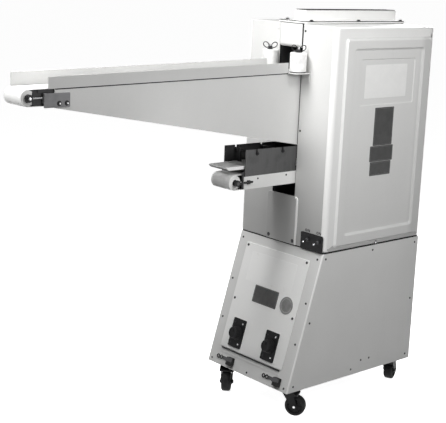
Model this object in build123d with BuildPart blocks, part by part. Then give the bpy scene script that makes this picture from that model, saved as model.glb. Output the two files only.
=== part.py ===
from build123d import *
import math
import os

os.makedirs("parts", exist_ok=True)

# ----------------------------------------------------------------------------
# Dough divider: a wheeled sheet-metal base, a tall head with two moulded side
# covers, a long upper infeed belt and a short lower discharge belt.
# +X runs from the infeed nose to the back, +Y to the far side, +Z up.
# The origin is on the floor at the middle of the bounding box.
# All lengths in millimetres.
# ----------------------------------------------------------------------------

# overall placing
fx = 316.5            # x of the head's front face
zb = 110.0            # underside of the base panels
base_h = 521.0        # height of the base
zt = zb + base_h      # top of the deck, foot of the head
head_top = 1475.0     # top of the side covers
depth = 556.0         # depth of head and base top
flare = 152.0         # how far the base front reaches out at its foot
base_hw = 229.0       # half width of the base
cover_hw = 231.0      # half width of the head at the cover margin
frame_proud = 7.0     # moulded frame above the margin
slot_hw = 62.0        # half width of the slot between the side covers
sheet = 2.5           # base panel thickness
wall = 3.0            # cover wall thickness

# inner frame plates
plate_y0, plate_t = 62.0, 8.0

# infeed conveyor (slopes down slightly towards its nose)
slope = 0.015
guard_z0 = zb + 1186.5        # lower edge of the guards at the head's front
belt_hw = 50.0
belt_t = 2.0
gap = 0.3                     # roller to belt clearance
nose_x, nose_r = fx - 1166.0, 25.0
drive_x, drive_r = fx + 130.0, 30.0
wedge_front, wedge_back = fx - 1076.0, fx + 60.0
wedge_y0, wedge_t = 57.0, 3.0

# discharge conveyor
dis_z = zb + 793.0
dis_nose_x, dis_drive_x, dis_r = fx - 298.0, fx + 330.0, 26.5
rail_z0, rail_z1 = zb + 766.0, zb + 814.0

# knife
knife_x, knife_z = fx + 222.0, zb + 1160.0
knife_tip = 50.0

# control panel on the sloping front
door_hw, door_top, door_bot, door_t, door_lift = 176.0, -36.0, -466.0, 2.0, 1.5
hinge_y, hinge_h, knuckle_r, pin_r = -471.0, 3.0, 2.6, 1.2
open_hw, open_top, open_bot = 150.0, -60.0, -455.0
knob_pos = [(-99.0, -396.0), (89.0, -396.0)]
knob_r, knob_h = 28.0, 24.5
door_screw_pos = [(-164.0, -46.5), (164.0, -46.5), (-164.0, -266.0), (164.0, -266.0)]

# toggles
toggle_pos = [(149.0, zb + 564.0), (205.0, zb + 564.0)]

# guide rollers
guide_x, guide_y, guide_r = fx - 35.0, 76.5, 31.0
guide_z0, guide_z1 = zb + 1192.0, zb + 1262.0

# casters
wheel_r, wheel_w, trail, axle_r = 40.0, 36.0, 34.0, 5.0
plate_top = zb + sheet
caster_at = {
    "front_near": (fx - 90.0, -172.0, -58.0),
    "front_far": (fx - 100.0, 163.0, 222.0),
    "back_near": (fx + 505.0, -166.0, 24.0),
    "back_far": (fx + 505.0, 166.0, 118.0),
}

run = 0.05            # radial clearance of a running fit

# derived planes and levels
phi = math.atan2(flare, base_h)
slant = math.hypot(flare, base_h)
front_face = Plane(origin=(fx, 0, zt), x_dir=(0, -1, 0),
                   z_dir=(-math.cos(phi), 0, math.sin(phi)))
head_face = Plane(origin=(fx, 0, 0), x_dir=(0, -1, 0), z_dir=(-1, 0, 0))


def guard_z(x):
    """Height of the guards' lower edge at x."""
    return guard_z0 + slope * (x - fx)


nose_z = guard_z(nose_x) + 1.0 - (nose_r + gap + belt_t)
drive_z = guard_z(drive_x) + 1.0 - (drive_r + gap + belt_t)


def side(y):
    """Vertical plane parallel to XZ at -y, facing the near side."""
    return Plane.XZ.offset(y)


def save(builder, name):
    builder.part.label = name
    export_step(builder.part, f"parts/{name}.step")


base_pts = [(fx - flare, zb), (fx + depth, zb), (fx + depth, zt), (fx, zt)]

# ----------------------------------------------------------------------------
# base
# ----------------------------------------------------------------------------
with BuildPart() as base_frame:
    # two side rings of square tube, joined by cross tubes and the deck plate
    with BuildSketch(side(base_hw - sheet - 30)):
        with BuildLine():
            Polyline(*base_pts, close=True)
        make_face()
        offset(amount=-sheet, kind=Kind.INTERSECTION, mode=Mode.REPLACE)
        offset(amount=-30, kind=Kind.INTERSECTION, mode=Mode.SUBTRACT)
    extrude(amount=30)
    mirror(about=Plane.XZ)
    inner = 2 * (base_hw - sheet - 30)
    with Locations((fx - 118, 0, zb + sheet + 15), (fx + 200, 0, zb + sheet + 15),
                   (fx + 538, 0, zb + sheet + 15), (fx + 538, 0, zt - 22),
                   (fx + 24, 0, zt - 22)):
        Box(30, inner + 2, 30)
    with Locations((fx + depth / 2 + 1, 0, zt)):
        Box(depth - 10, 2 * (base_hw - sheet), 5,
            align=(Align.CENTER, Align.CENTER, Align.MAX))
    with Locations(*[(p[0], p[1], plate_top) for p in caster_at.values()]):
        Box(90, 96, 6, align=(Align.CENTER, Align.CENTER, Align.MIN))
save(base_frame, "base_frame")

with BuildPart() as base_side_panels:
    with BuildSketch(side(base_hw - sheet)):
        with BuildLine():
            Polyline((fx - flare + 2.8, zb), (fx + depth, zb), (fx + depth, zt),
                     (fx + 2.8, zt), close=True)
        make_face()
    extrude(amount=sheet)
    mirror(about=Plane.XZ)
save(base_side_panels, "base_side_panels")

with BuildPart() as base_back_panel:
    with BuildSketch(Plane.YZ.offset(fx + depth - sheet)):
        with Locations((0, (zb + zt) / 2 + 1)):
            Rectangle(2 * (base_hw - sheet), base_h - 2)
        with Locations((150, zb + 110)):
            Circle(17, mode=Mode.SUBTRACT)
        with Locations((0, zb + 330)):
            with GridLocations(60, 14, 4, 8):
                SlotOverall(46, 5, mode=Mode.SUBTRACT)
    extrude(amount=sheet)
save(base_back_panel, "base_back_panel")

with BuildPart() as power_inlet:
    # round cable gland in the back panel, with its flange and lock nut
    with BuildSketch(Plane.YZ.offset(fx + depth)):
        with Locations((150, zb + 110)):
            RegularPolygon(21, 6)
    extrude(amount=4)
    with BuildSketch(Plane.YZ.offset(fx + depth - 18)):
        with Locations((150, zb + 110)):
            Circle(16.8)
    extrude(amount=18.5)
    with BuildSketch(Plane.YZ.offset(fx + depth - 20)):
        with Locations((150, zb + 110)):
            Circle(8)
    extrude(amount=30, mode=Mode.SUBTRACT)
    with BuildSketch(Plane.YZ.offset(fx + depth - sheet - 6)):
        with Locations((150, zb + 110)):
            RegularPolygon(22, 6)
            Circle(16.5, mode=Mode.SUBTRACT)
    extrude(amount=6)
save(power_inlet, "power_inlet")

with BuildPart() as base_front_skin:
    with BuildSketch(front_face):
        with Locations((0, -slant / 2)):
            Rectangle(2 * base_hw, slant - 0.6)
        with Locations((0, (open_top + open_bot) / 2)):
            RectangleRounded(2 * open_hw, open_top - open_bot, 12, mode=Mode.SUBTRACT)
        with Locations(*door_screw_pos):
            Circle(3.0, mode=Mode.SUBTRACT)
    extrude(amount=-sheet)
    long_edges = base_front_skin.edges().filter_by(
        lambda e: abs(abs(e.center().Y) - base_hw) < 0.01 and e.length > 400)
    fillet(long_edges.group_by(Axis.X)[0], 2.0)
save(base_front_skin, "base_front_skin")

# ----------------------------------------------------------------------------
# head: moulded side covers, panels, inner plates
# ----------------------------------------------------------------------------
cover_z0 = zt + 1.0
frame_x0, frame_x1, frame_z0, frame_z1 = fx + 50, fx + 540, zb + 541, zb + 1324
rec_x0, rec_x1, rec_z0, rec_z1 = fx + 97, fx + 494, zb + 581, zb + 1287
lab_x0, lab_x1, lab_z0, lab_z1 = fx + 142, fx + 452, zb + 1073, zb + 1246

with BuildPart() as side_cover_near:
    with BuildSketch(Plane.XY.offset(cover_z0)):
        with BuildLine():
            Polyline((fx, -slot_hw), (fx, -cover_hw), (fx + depth, -cover_hw),
                     (fx + depth, -slot_hw), close=True)
        make_face()
        fillet(vertices().group_by(Axis.Y)[0], 12)
    extrude(amount=head_top - cover_z0)
    top_edges = side_cover_near.faces().sort_by(Axis.Z)[-1].edges()
    fillet(top_edges.filter_by(lambda e: e.center().Y < -slot_hw - 1), 11)
    # raised frame
    with BuildSketch(side(cover_hw)):
        with Locations(((frame_x0 + frame_x1) / 2, (frame_z0 + frame_z1) / 2)):
            RectangleRounded(frame_x1 - frame_x0, frame_z1 - frame_z0, 12)
    extrude(amount=frame_proud, taper=50)
    # sunk field inside the frame
    with BuildSketch(side(cover_hw + frame_proud)):
        with Locations(((rec_x0 + rec_x1) / 2, (rec_z0 + rec_z1) / 2)):
            RectangleRounded(rec_x1 - rec_x0, rec_z1 - rec_z0, 13)
    extrude(amount=-8, taper=48, mode=Mode.SUBTRACT)
    # shallow label field
    with BuildSketch(side(cover_hw + frame_proud - 8)):
        with Locations(((lab_x0 + lab_x1) / 2, (lab_z0 + lab_z1) / 2)):
            RectangleRounded(lab_x1 - lab_x0, lab_z1 - lab_z0, 6)
    extrude(amount=-2.5, taper=50, mode=Mode.SUBTRACT)
    # hollow inside, open below and towards the slot
    with BuildSketch(Plane.XY.offset(cover_z0 - 1)):
        with Locations((fx + depth / 2, -(slot_hw - 1 + cover_hw - 7.5) / 2)):
            Rectangle(depth - 2 * wall, cover_hw - 7.5 - slot_hw + 1)
    extrude(amount=head_top - wall - cover_z0 + 1, mode=Mode.SUBTRACT)
save(side_cover_near, "side_cover_near")

with BuildPart() as side_cover_far:
    add(side_cover_near.part)
    mirror(about=Plane.XZ, mode=Mode.REPLACE)
save(side_cover_far, "side_cover_far")

with BuildPart() as front_top_panel:
    with BuildSketch(head_face):
        with Locations((0, (zb + 1276 + head_top - 1) / 2)):
            Rectangle(2 * slot_hw - 2.4, head_top - 1 - zb - 1276)
    extrude(amount=-wall)
    with Locations((fx + wall, 0, zb + 1276)):
        Box(16, 2 * slot_hw - 2.4, 2.5, align=(Align.MIN, Align.CENTER, Align.MIN))
save(front_top_panel, "front_top_panel")

with BuildPart() as front_lower_panel:
    with BuildSketch(head_face):
        with BuildLine():
            Polyline((-83, zt + 4), (83, zt + 4), (83, zb + 714), (-83, zb + 714), close=True)
        make_face()
        fillet(vertices().group_by(Axis.Y)[-1], 14)
    extrude(amount=4)
    fillet(front_lower_panel.faces().sort_by(Axis.X)[0].edges(), 2)
save(front_lower_panel, "front_lower_panel")

with BuildPart() as rear_panel:
    with BuildSketch(Plane.YZ.offset(fx + depth - wall)):
        with Locations((0, (cover_z0 + head_top) / 2)):
            Rectangle(2 * slot_hw - 2.4, head_top - cover_z0 - 4)
        with Locations((0, zb + 740), (0, zb + 1180)):
            with GridLocations(10, 16, 1, 9):
                SlotOverall(80, 5, mode=Mode.SUBTRACT)
    extrude(amount=wall)
save(rear_panel, "rear_panel")

with BuildPart() as top_cover:
    # folded lid: low tray with a narrow raised box along its middle
    with Locations((fx + depth / 2, 0, head_top + 0.5)):
        Box(depth - 2, 152, 10, align=(Align.CENTER, Align.CENTER, Align.MIN))
        Box(depth - 7, 147, 7.5, align=(Align.CENTER, Align.CENTER, Align.MIN),
            mode=Mode.SUBTRACT)
    with Locations((fx + 295, 0, head_top + 8)):
        Box(514, 60, 43, align=(Align.CENTER, Align.CENTER, Align.MIN))
    fillet(top_cover.faces().sort_by(Axis.Z)[-1].edges(), 3)
    with Locations((fx + 295, 0, head_top + 0.5)):
        Box(509, 55, 48, align=(Align.CENTER, Align.CENTER, Align.MIN), mode=Mode.SUBTRACT)
save(top_cover, "top_cover")

with BuildPart() as frame_plates:
    with BuildSketch(side(plate_y0)):
        with Locations((fx + 278, (zt + head_top - 6) / 2)):
            Rectangle(540, head_top - 6 - zt)
        with Locations((drive_x, drive_z), (knife_x, knife_z), (dis_drive_x, dis_z)):
            Circle(14, mode=Mode.SUBTRACT)
        with Locations((fx + 440, zb + 1180), (fx + 440, zb + 620)):
            RectangleRounded(130, 150, 20, mode=Mode.SUBTRACT)
    extrude(amount=plate_t)
    mirror(about=Plane.XZ)
save(frame_plates, "frame_plates")

with BuildPart() as tie_bars:
    for bx, bz in ((60, 690), (500, 570), (500, 1330), (60, 1335), (440, 930)):
        with BuildSketch(side(plate_y0)):
            with Locations((fx + bx, zb + bz)):
                Circle(9)
        extrude(amount=-2 * plate_y0)
save(tie_bars, "tie_bars")

# ----------------------------------------------------------------------------
# infeed conveyor
# ----------------------------------------------------------------------------


def strip(x0, x1, lo, hi):
    """Corners of a band that follows the conveyor's slope."""
    return [(x0, guard_z(x0) + lo), (x1, guard_z(x1) + lo),
            (x1, guard_z(x1) + hi), (x0, guard_z(x0) + hi)]


with BuildPart() as wedge_plates:
    with BuildSketch(side(wedge_y0)):
        with BuildLine():
            Polyline((wedge_front, guard_z(wedge_front) - 1.5),
                     (wedge_back, guard_z(wedge_back) - 1.5),
                     (wedge_back, zb + 914 - 0.1815 * 60),
                     (wedge_front, zb + 914 + 0.1815 * 1076), close=True)
        make_face()
    extrude(amount=wedge_t)
    mirror(about=Plane.XZ)
save(wedge_plates, "wedge_plates")

with BuildPart() as guard_rails:
    # near guard: outer strip, ledge and inner leg
    with BuildSketch(side(58)):
        with BuildLine():
            Polyline(*strip(fx - 1100, fx - 68, 0, 38), close=True)
        make_face()
    extrude(amount=2.5)
    with BuildSketch(side(55)):
        with BuildLine():
            Polyline(*strip(fx - 1100, fx - 68, 0, 2.5), close=True)
        make_face()
    extrude(amount=5.5)
    with BuildSketch(side(55)):
        with BuildLine():
            Polyline(*strip(fx - 1070, fx - 68, -30, 2.5), close=True)
        make_face()
    extrude(amount=2)
    # far guard: a little taller and longer
    with BuildSketch(side(-60.5)):
        with BuildLine():
            Polyline(*strip(fx - 1163, fx - 68, 0, 44), close=True)
        make_face()
    extrude(amount=2.5)
    with BuildSketch(side(-60.5)):
        with BuildLine():
            Polyline(*strip(fx - 1163, fx - 68, 0, 2.5), close=True)
        make_face()
    extrude(amount=5.5)
    with BuildSketch(side(-57)):
        with BuildLine():
            Polyline(*strip(fx - 1070, fx - 68, -30, 2.5), close=True)
        make_face()
    extrude(amount=2)
save(guard_rails, "guard_rails")

with BuildPart() as conveyor_bed:
    with BuildSketch(side(55)):
        with BuildLine():
            Polyline(*strip(fx - 1124, fx + 92, -3.3, -1.3), close=True)
        make_face()
    extrude(amount=-110)
    for y in (55, -52.5):
        with BuildSketch(side(y)):
            with BuildLine():
                Polyline(*strip(fx - 1104, fx + 92, -26, -1.3), close=True)
            make_face()
            with BuildLine():
                Polyline(*strip(fx - 1134, fx - 1103, -11, -1.3), close=True)
            make_face()
        extrude(amount=-2.5)
save(conveyor_bed, "conveyor_bed")

with BuildPart() as infeed_belt:
    with BuildSketch(side(belt_hw)):
        with Locations((nose_x, nose_z)):
            Circle(nose_r + gap + belt_t)
        with Locations((drive_x, drive_z)):
            Circle(drive_r + gap + belt_t)
        make_hull()
    extrude(amount=-2 * belt_hw)
    with BuildSketch(side(belt_hw + 1)):
        with Locations((nose_x, nose_z)):
            Circle(nose_r + gap)
        with Locations((drive_x, drive_z)):
            Circle(drive_r + gap)
        make_hull()
    extrude(amount=-2 * belt_hw - 2, mode=Mode.SUBTRACT)
save(infeed_belt, "infeed_belt")

with BuildPart() as infeed_nose_roller:
    with BuildSketch(side(belt_hw)):
        with Locations((nose_x, nose_z)):
            Circle(nose_r)
    extrude(amount=-2 * belt_hw)
    for y, d in ((belt_hw, -7), (-belt_hw, 7)):
        with BuildSketch(side(y)):
            with Locations((nose_x, nose_z)):
                Circle(13)
        extrude(amount=d, mode=Mode.SUBTRACT)
    with BuildSketch(side(belt_hw + 1)):
        with Locations((nose_x, nose_z)):
            Circle(8 + run)
    extrude(amount=-2 * belt_hw - 2, mode=Mode.SUBTRACT)
    fillet(infeed_nose_roller.edges().filter_by(GeomType.CIRCLE).filter_by(
        lambda e: abs(e.radius - nose_r) < 0.01), 2)
save(infeed_nose_roller, "infeed_nose_roller")

with BuildPart() as roller_shafts:
    # fixed shafts of the two nose rollers
    with BuildSketch(side(62)):
        with Locations((nose_x, nose_z)):
            Circle(8)
    extrude(amount=-124)
    with BuildSketch(side(69)):
        with Locations((dis_nose_x, dis_z)):
            Circle(7)
    extrude(amount=-138)
    fillet(roller_shafts.edges().filter_by(GeomType.CIRCLE), 1.2)
save(roller_shafts, "roller_shafts")

tab_x = fx - 1116.0
with BuildPart() as take_up_brackets:
    with BuildSketch(side(wedge_y0 + wedge_t)):
        with BuildLine():
            Polyline((tab_x, zb + 1111), (fx - 1021, zb + 1111), (fx - 1021, zb + 1157),
                     (tab_x, zb + 1157), close=True)
        make_face()
        with Locations((fx - 1061.5, zb + 1124), (fx - 1033, zb + 1124)):
            SlotOverall(14, 6.6, mode=Mode.SUBTRACT)
    extrude(amount=3)
    with BuildSketch(side(51.5)):
        with BuildLine():
            Polyline((tab_x, zb + 1126), (tab_x + 3, zb + 1126), (tab_x + 3, zb + 1157),
                     (tab_x, zb + 1157), close=True)
        make_face()
    extrude(amount=9)
    with BuildSketch(Plane.YZ.offset(tab_x - 1)):
        with Locations((-55.3, nose_z)):
            Circle(3.3)
    extrude(amount=5, mode=Mode.SUBTRACT)
    mirror(about=Plane.XZ)
save(take_up_brackets, "take_up_brackets")

with BuildPart() as take_up_screws:
    for sy in (-1, 1):
        # infeed nose: rod from the shaft end through the bracket tab, two nuts
        with BuildSketch(Plane.YZ.offset(nose_x + 7)):
            with Locations((sy * 55.3, nose_z)):
                Circle(3)
        extrude(amount=fx - 1106.5 - nose_x - 7)
        for nx in (tab_x - 5, tab_x + 3):
            with BuildSketch(Plane.YZ.offset(nx)):
                with Locations((sy * 55.3, nose_z)):
                    RegularPolygon(4.4, 6)
            extrude(amount=5)
    for sy in (-1, 1):
        # discharge nose: rod beside the rail, with a saddle on the rail
        with BuildSketch(Plane.YZ.offset(dis_nose_x + 6)):
            with Locations((sy * 64.6, dis_z)):
                Circle(4)
        extrude(amount=68)
        with Locations((fx - 243, sy * 62.5, dis_z)):
            Box(12, 5, 14)
save(take_up_screws, "take_up_screws")

with BuildPart() as infeed_drive_roller:
    with BuildSketch(side(belt_hw)):
        with Locations((drive_x, drive_z)):
            Circle(drive_r)
    extrude(amount=-2 * belt_hw)
    with BuildSketch(side(150)):
        with Locations((drive_x, drive_z)):
            Circle(10)
    extrude(amount=-234)
save(infeed_drive_roller, "infeed_drive_roller")

with BuildPart() as conveyor_support:
    # cross block under the wedge, between its plates
    with BuildSketch(side(wedge_y0)):
        with BuildLine():
            Polyline((fx - 267, zb + 968), (fx - 187, zb + 968), (fx - 187, zb + 1008),
                     (fx - 267, zb + 1008), close=True)
        make_face()
    extrude(amount=-2 * wedge_y0)
save(conveyor_support, "conveyor_support")

# ----------------------------------------------------------------------------
# discharge conveyor
# ----------------------------------------------------------------------------
with BuildPart() as discharge_rails:
    with BuildSketch(side(wedge_y0)):
        with BuildLine():
            Polyline((fx - 262, rail_z0), (fx + 292, rail_z0), (fx + 292, rail_z1),
                     (fx - 262, rail_z1), close=True)
        make_face()
    extrude(amount=wedge_t)
    mirror(about=Plane.XZ)
save(discharge_rails, "discharge_rails")

with BuildPart() as discharge_bed:
    with Locations((fx + 15, 0, dis_z + dis_r + gap - 0.3)):
        Box(550, 114, 2, align=(Align.CENTER, Align.CENTER, Align.MAX))
    for sy in (-1, 1):
        with Locations((fx + 10, sy * 55.75, zb + 768)):
            Box(560, 2.5, 64, align=(Align.CENTER, Align.CENTER, Align.MIN))
save(discharge_bed, "discharge_bed")

with BuildPart() as discharge_belt:
    with BuildSketch(side(belt_hw)):
        with Locations((dis_nose_x, dis_z), (dis_drive_x, dis_z)):
            Circle(dis_r + gap + belt_t)
        make_hull()
    extrude(amount=-2 * belt_hw)
    with BuildSketch(side(belt_hw + 1)):
        with Locations((dis_nose_x, dis_z), (dis_drive_x, dis_z)):
            Circle(dis_r + gap)
        make_hull()
    extrude(amount=-2 * belt_hw - 2, mode=Mode.SUBTRACT)
save(discharge_belt, "discharge_belt")

with BuildPart() as discharge_nose_roller:
    with BuildSketch(side(belt_hw)):
        with Locations((dis_nose_x, dis_z)):
            Circle(dis_r)
    extrude(amount=-2 * belt_hw)
    for y, d in ((belt_hw, -6), (-belt_hw, 6)):
        with BuildSketch(side(y)):
            with Locations((dis_nose_x, dis_z)):
                Circle(12)
        extrude(amount=d, mode=Mode.SUBTRACT)
    with BuildSketch(side(belt_hw + 1)):
        with Locations((dis_nose_x, dis_z)):
            Circle(7 + run)
    extrude(amount=-2 * belt_hw - 2, mode=Mode.SUBTRACT)
    fillet(discharge_nose_roller.edges().filter_by(GeomType.CIRCLE).filter_by(
        lambda e: abs(e.radius - dis_r) < 0.01), 2)
save(discharge_nose_roller, "discharge_nose_roller")

pulley_y0, pulley_w, pulley_r = 90.0, 14.0, 25.0
with BuildPart() as discharge_drive_roller:
    with BuildSketch(side(belt_hw)):
        with Locations((dis_drive_x, dis_z)):
            Circle(dis_r)
    extrude(amount=-2 * belt_hw)
    with BuildSketch(side(84)):
        with Locations((dis_drive_x, dis_z)):
            Circle(10)
    extrude(amount=-84 - 112)
    with BuildSketch(side(-pulley_y0)):
        with Locations((dis_drive_x, dis_z)):
            Circle(pulley_r)
    extrude(amount=-pulley_w)
save(discharge_drive_roller, "discharge_drive_roller")

with BuildPart() as guard_plates:
    with BuildSketch(side(wedge_y0)):
        with BuildLine():
            Polyline((fx - 259, rail_z1), (fx - 1, rail_z1), (fx - 1, zb + 909),
                     (fx - 259, zb + 912.5), close=True)
        make_face()
        for px in (-204, -74):
            with Locations((fx + px, zb + 906)):
                Rectangle(8.6, 20, mode=Mode.SUBTRACT)
            with Locations((fx + px, zb + 896)):
                Circle(4.3, mode=Mode.SUBTRACT)
    extrude(amount=wedge_t)
    mirror(about=Plane.XZ)
save(guard_plates, "guard_plates")

board_z0, board_z1 = zb + 840.0, zb + 853.0
with BuildPart() as board_hangers:
    for px in (-204, -74):
        with BuildSketch(side(67)):
            with Locations((fx + px, zb + 896)):
                Circle(4.2)
        extrude(amount=-134)
        for y0, d in ((60, 5), (-60, -5)):
            with BuildSketch(side(y0)):
                with Locations((fx + px, zb + 896)):
                    RegularPolygon(7.5, 6)
            extrude(amount=d)
        with Locations((fx + px, -34, board_z1), (fx + px, 34, board_z1)):
            Cylinder(5, zb + 896 - board_z1,
                     align=(Align.CENTER, Align.CENTER, Align.MIN))
save(board_hangers, "board_hangers")

with BuildPart() as pressure_board:
    # the front end is undercut so that the pieces run out freely
    with BuildSketch(side(51)):
        with BuildLine():
            Polyline((fx - 341, board_z1), (fx - 341, board_z1 - 5), (fx - 331, board_z0),
                     (fx + 40, board_z0), (fx + 40, board_z1), close=True)
        make_face()
    extrude(amount=-102)
    fillet(pressure_board.edges().filter_by(lambda e: e.center().X < fx + 39), 1.8)
save(pressure_board, "pressure_board")

# ----------------------------------------------------------------------------
# knife and drives
# ----------------------------------------------------------------------------
with BuildPart() as knife_rotor:
    with BuildSketch(side(48)):
        with Locations((knife_x, knife_z)):
            Circle(22)
            Rectangle(5, 2 * knife_tip, rotation=38)
    extrude(amount=-96)
    with BuildSketch(side(150)):
        with Locations((knife_x, knife_z)):
            Circle(10)
    extrude(amount=-150 - 112)
    with BuildSketch(side(-pulley_y0)):
        with Locations((knife_x, knife_z)):
            Circle(pulley_r)
    extrude(amount=-pulley_w)
save(knife_rotor, "knife_rotor")

with BuildPart() as shaft_bearings:
    for sx, sz in ((drive_x, drive_z), (knife_x, knife_z), (dis_drive_x, dis_z)):
        for y0, d in ((plate_y0 + plate_t, 12), (-plate_y0 - plate_t, -12)):
            with BuildSketch(side(y0)):
                with Locations((sx, sz)):
                    Circle(26)
                    Circle(10 + run, mode=Mode.SUBTRACT)
            extrude(amount=d)
save(shaft_bearings, "shaft_bearings")

with BuildPart() as gearmotors:
    # two shaft-mounted gearmotors, gear case above and motor hanging below
    for sx, sz in ((drive_x, drive_z), (knife_x, knife_z)):
        with BuildSketch(side(84)):
            with Locations((sx, sz)):
                RectangleRounded(88, 96, 14)
        extrude(amount=62)
        with BuildSketch(Plane.XY.offset(sz - 210)):
            with Locations((sx, -116)):
                Circle(38)
        extrude(amount=166)
        with BuildSketch(side(80)):
            with Locations((sx, sz)):
                Circle(10 + run)
        extrude(amount=90, mode=Mode.SUBTRACT)
save(gearmotors, "gearmotors")

with BuildPart() as drive_belt:
    with BuildSketch(side(-pulley_y0 - 1)):
        with Locations((knife_x, knife_z), (dis_drive_x, dis_z)):
            Circle(pulley_r + gap + 4)
        make_hull()
    extrude(amount=-pulley_w + 2)
    with BuildSketch(side(-pulley_y0)):
        with Locations((knife_x, knife_z), (dis_drive_x, dis_z)):
            Circle(pulley_r + gap)
        make_hull()
    extrude(amount=-pulley_w, mode=Mode.SUBTRACT)
save(drive_belt, "drive_belt")

# ----------------------------------------------------------------------------
# control panel, hinge, speed controls
# ----------------------------------------------------------------------------
lift_plane = front_face.offset(door_lift)
with BuildPart() as control_panel:
    with BuildSketch(lift_plane):
        with Locations((0, (door_top + door_bot) / 2)):
            RectangleRounded(2 * door_hw, door_top - door_bot, 4)
        with Locations(*door_screw_pos):
            Circle(2.9, mode=Mode.SUBTRACT)
        with Locations(*knob_pos):
            Circle(3 + run, mode=Mode.SUBTRACT)
    extrude(amount=door_t)
    # folded stiffener ring behind the panel
    with BuildSketch(lift_plane):
        with Locations((0, -257.5)):
            Rectangle(284, 379)
            Rectangle(280, 375, mode=Mode.SUBTRACT)
    extrude(amount=-14)
save(control_panel, "control_panel")

segments = 16
seg = 330.0 / segments
hinge_plane = Plane(origin=front_face.from_local_coords(Vector(165, hinge_y, hinge_h)),
                    x_dir=front_face.y_dir, z_dir=(0, 1, 0))
with BuildPart() as hinge_fixed_leaf:
    with BuildSketch(front_face):
        with Locations((0, hinge_y - 11.4)):
            Rectangle(330, 15)
    extrude(amount=1.2)
    for i in range(0, segments, 2):
        with BuildSketch(hinge_plane.offset(i * seg)):
            Circle(knuckle_r)
        extrude(amount=seg - 0.4)
        with BuildSketch(front_face):
            with Locations((165 - i * seg - (seg - 0.4) / 2, hinge_y - 2.2)):
                Rectangle(seg - 0.4, 4.4)
        extrude(amount=1.2)
    with BuildSketch(hinge_plane):
        Circle(pin_r)
    extrude(amount=330)
save(hinge_fixed_leaf, "hinge_fixed_leaf")

with BuildPart() as hinge_door_leaf:
    with BuildSketch(front_face.offset(0.3)):
        with Locations((0, hinge_y + 11.4)):
            Rectangle(330, 15)
    extrude(amount=door_lift - 0.3)
    for i in range(1, segments, 2):
        with BuildSketch(hinge_plane.offset(i * seg)):
            Circle(knuckle_r)
        extrude(amount=seg - 0.4)
        with BuildSketch(front_face.offset(0.3)):
            with Locations((165 - i * seg - (seg - 0.4) / 2, hinge_y + 2.2)):
                Rectangle(seg - 0.4, 4.4)
        extrude(amount=door_lift - 0.3)
    with BuildSketch(hinge_plane.offset(-1)):
        Circle(pin_r + run)
    extrude(amount=332, mode=Mode.SUBTRACT)
save(hinge_door_leaf, "hinge_door_leaf")

face_plane = front_face.offset(door_lift + door_t)
plate_h = 4.5
with BuildPart() as gang_plates:
    with BuildSketch(face_plane):
        with Locations(*knob_pos):
            RectangleRounded(70, 114, 5)
            Circle(3 + run, mode=Mode.SUBTRACT)
    extrude(amount=plate_h)
    fillet(gang_plates.faces().filter_by(
        lambda f: f.normal_at().dot(front_face.z_dir) > 0.99).edges().filter_by(
        lambda e: e.length > 6.5 and e.geom_type != GeomType.CIRCLE), 1.2)
save(gang_plates, "gang_plates")

with BuildPart() as door_screws:
    for sx, sy in door_screw_pos:
        with BuildSketch(face_plane):
            with Locations((sx, sy)):
                Circle(5.5)
        extrude(amount=2.6)
        with BuildSketch(front_face.offset(-sheet)):
            with Locations((sx, sy)):
                Circle(2.75)
        extrude(amount=sheet + door_lift + door_t)
    for kx, ky in knob_pos:
        with BuildSketch(face_plane.offset(plate_h)):
            with Locations((kx, ky)):
                with GridLocations(41, 82, 2, 2):
                    Circle(3.4)
        extrude(amount=1.6)
save(door_screws, "door_screws")

for kname, (kx, ky) in zip(("speed_knob_left", "speed_knob_right"), knob_pos):
    with BuildPart() as speed_knob:
        with BuildSketch(face_plane.offset(plate_h + 0.6)):
            with Locations((kx, ky)):
                Circle(knob_r)
        extrude(amount=knob_h, taper=4)
        fillet(speed_knob.faces().sort_by(Axis(front_face.origin, front_face.z_dir))[-1].edges(), 4)
        with BuildSketch(face_plane.offset(plate_h + 0.6 + knob_h)):
            with Locations((kx, ky + 13)):
                SlotOverall(18, 4, rotation=90)
        extrude(amount=1.5)
        with BuildSketch(front_face.offset(-6)):
            with Locations((kx, ky)):
                Circle(3)
        extrude(amount=6 + door_lift + door_t + plate_h + 2)
    save(speed_knob, kname)

# ----------------------------------------------------------------------------
# panel stops under the control panel
# ----------------------------------------------------------------------------
stops = [(-172.5, -509.5, -114.0), (93.0, -510.0, 153.0)]
stop_l, stop_w, stop_h = 34.0, 34.0, 14.0
with BuildPart() as stop_straps:
    for sx, sy, bx in stops:
        with BuildSketch(front_face):
            with Locations(((sx - 8 + bx) / 2, sy)):
                Rectangle(bx - sx + 8, 13)
        extrude(amount=2.5)
        with BuildSketch(front_face):
            with Locations((bx - 1.25, sy)):
                Rectangle(2.5, 13)
        extrude(amount=stop_h + 2.5)
        with BuildSketch(front_face.offset(stop_h)):
            with BuildLine():
                Polyline((bx - 2.5, sy - 6.5), (bx + 14, sy - 4), (bx + stop_l, sy - 2),
                         (bx + stop_l, sy + 13.5), (bx + 10, sy + 13.5), (bx - 2.5, sy + 6.5),
                         close=True)
            make_face()
        extrude(amount=2.5)
        for k in (0, 18):
            with BuildSketch(front_face.offset(2.5)):
                with Locations((sx + k, sy)):
                    Circle(7.5)
                    Circle(3.2, mode=Mode.SUBTRACT)
            extrude(amount=3)
save(stop_straps, "stop_straps")

with BuildPart() as stop_blocks:
    for sx, sy, bx in stops:
        with BuildSketch(front_face):
            with Locations((bx + stop_l / 2, sy - 3.5)):
                RectangleRounded(stop_l, stop_w, 3)
        extrude(amount=stop_h)
save(stop_blocks, "stop_blocks")

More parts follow.
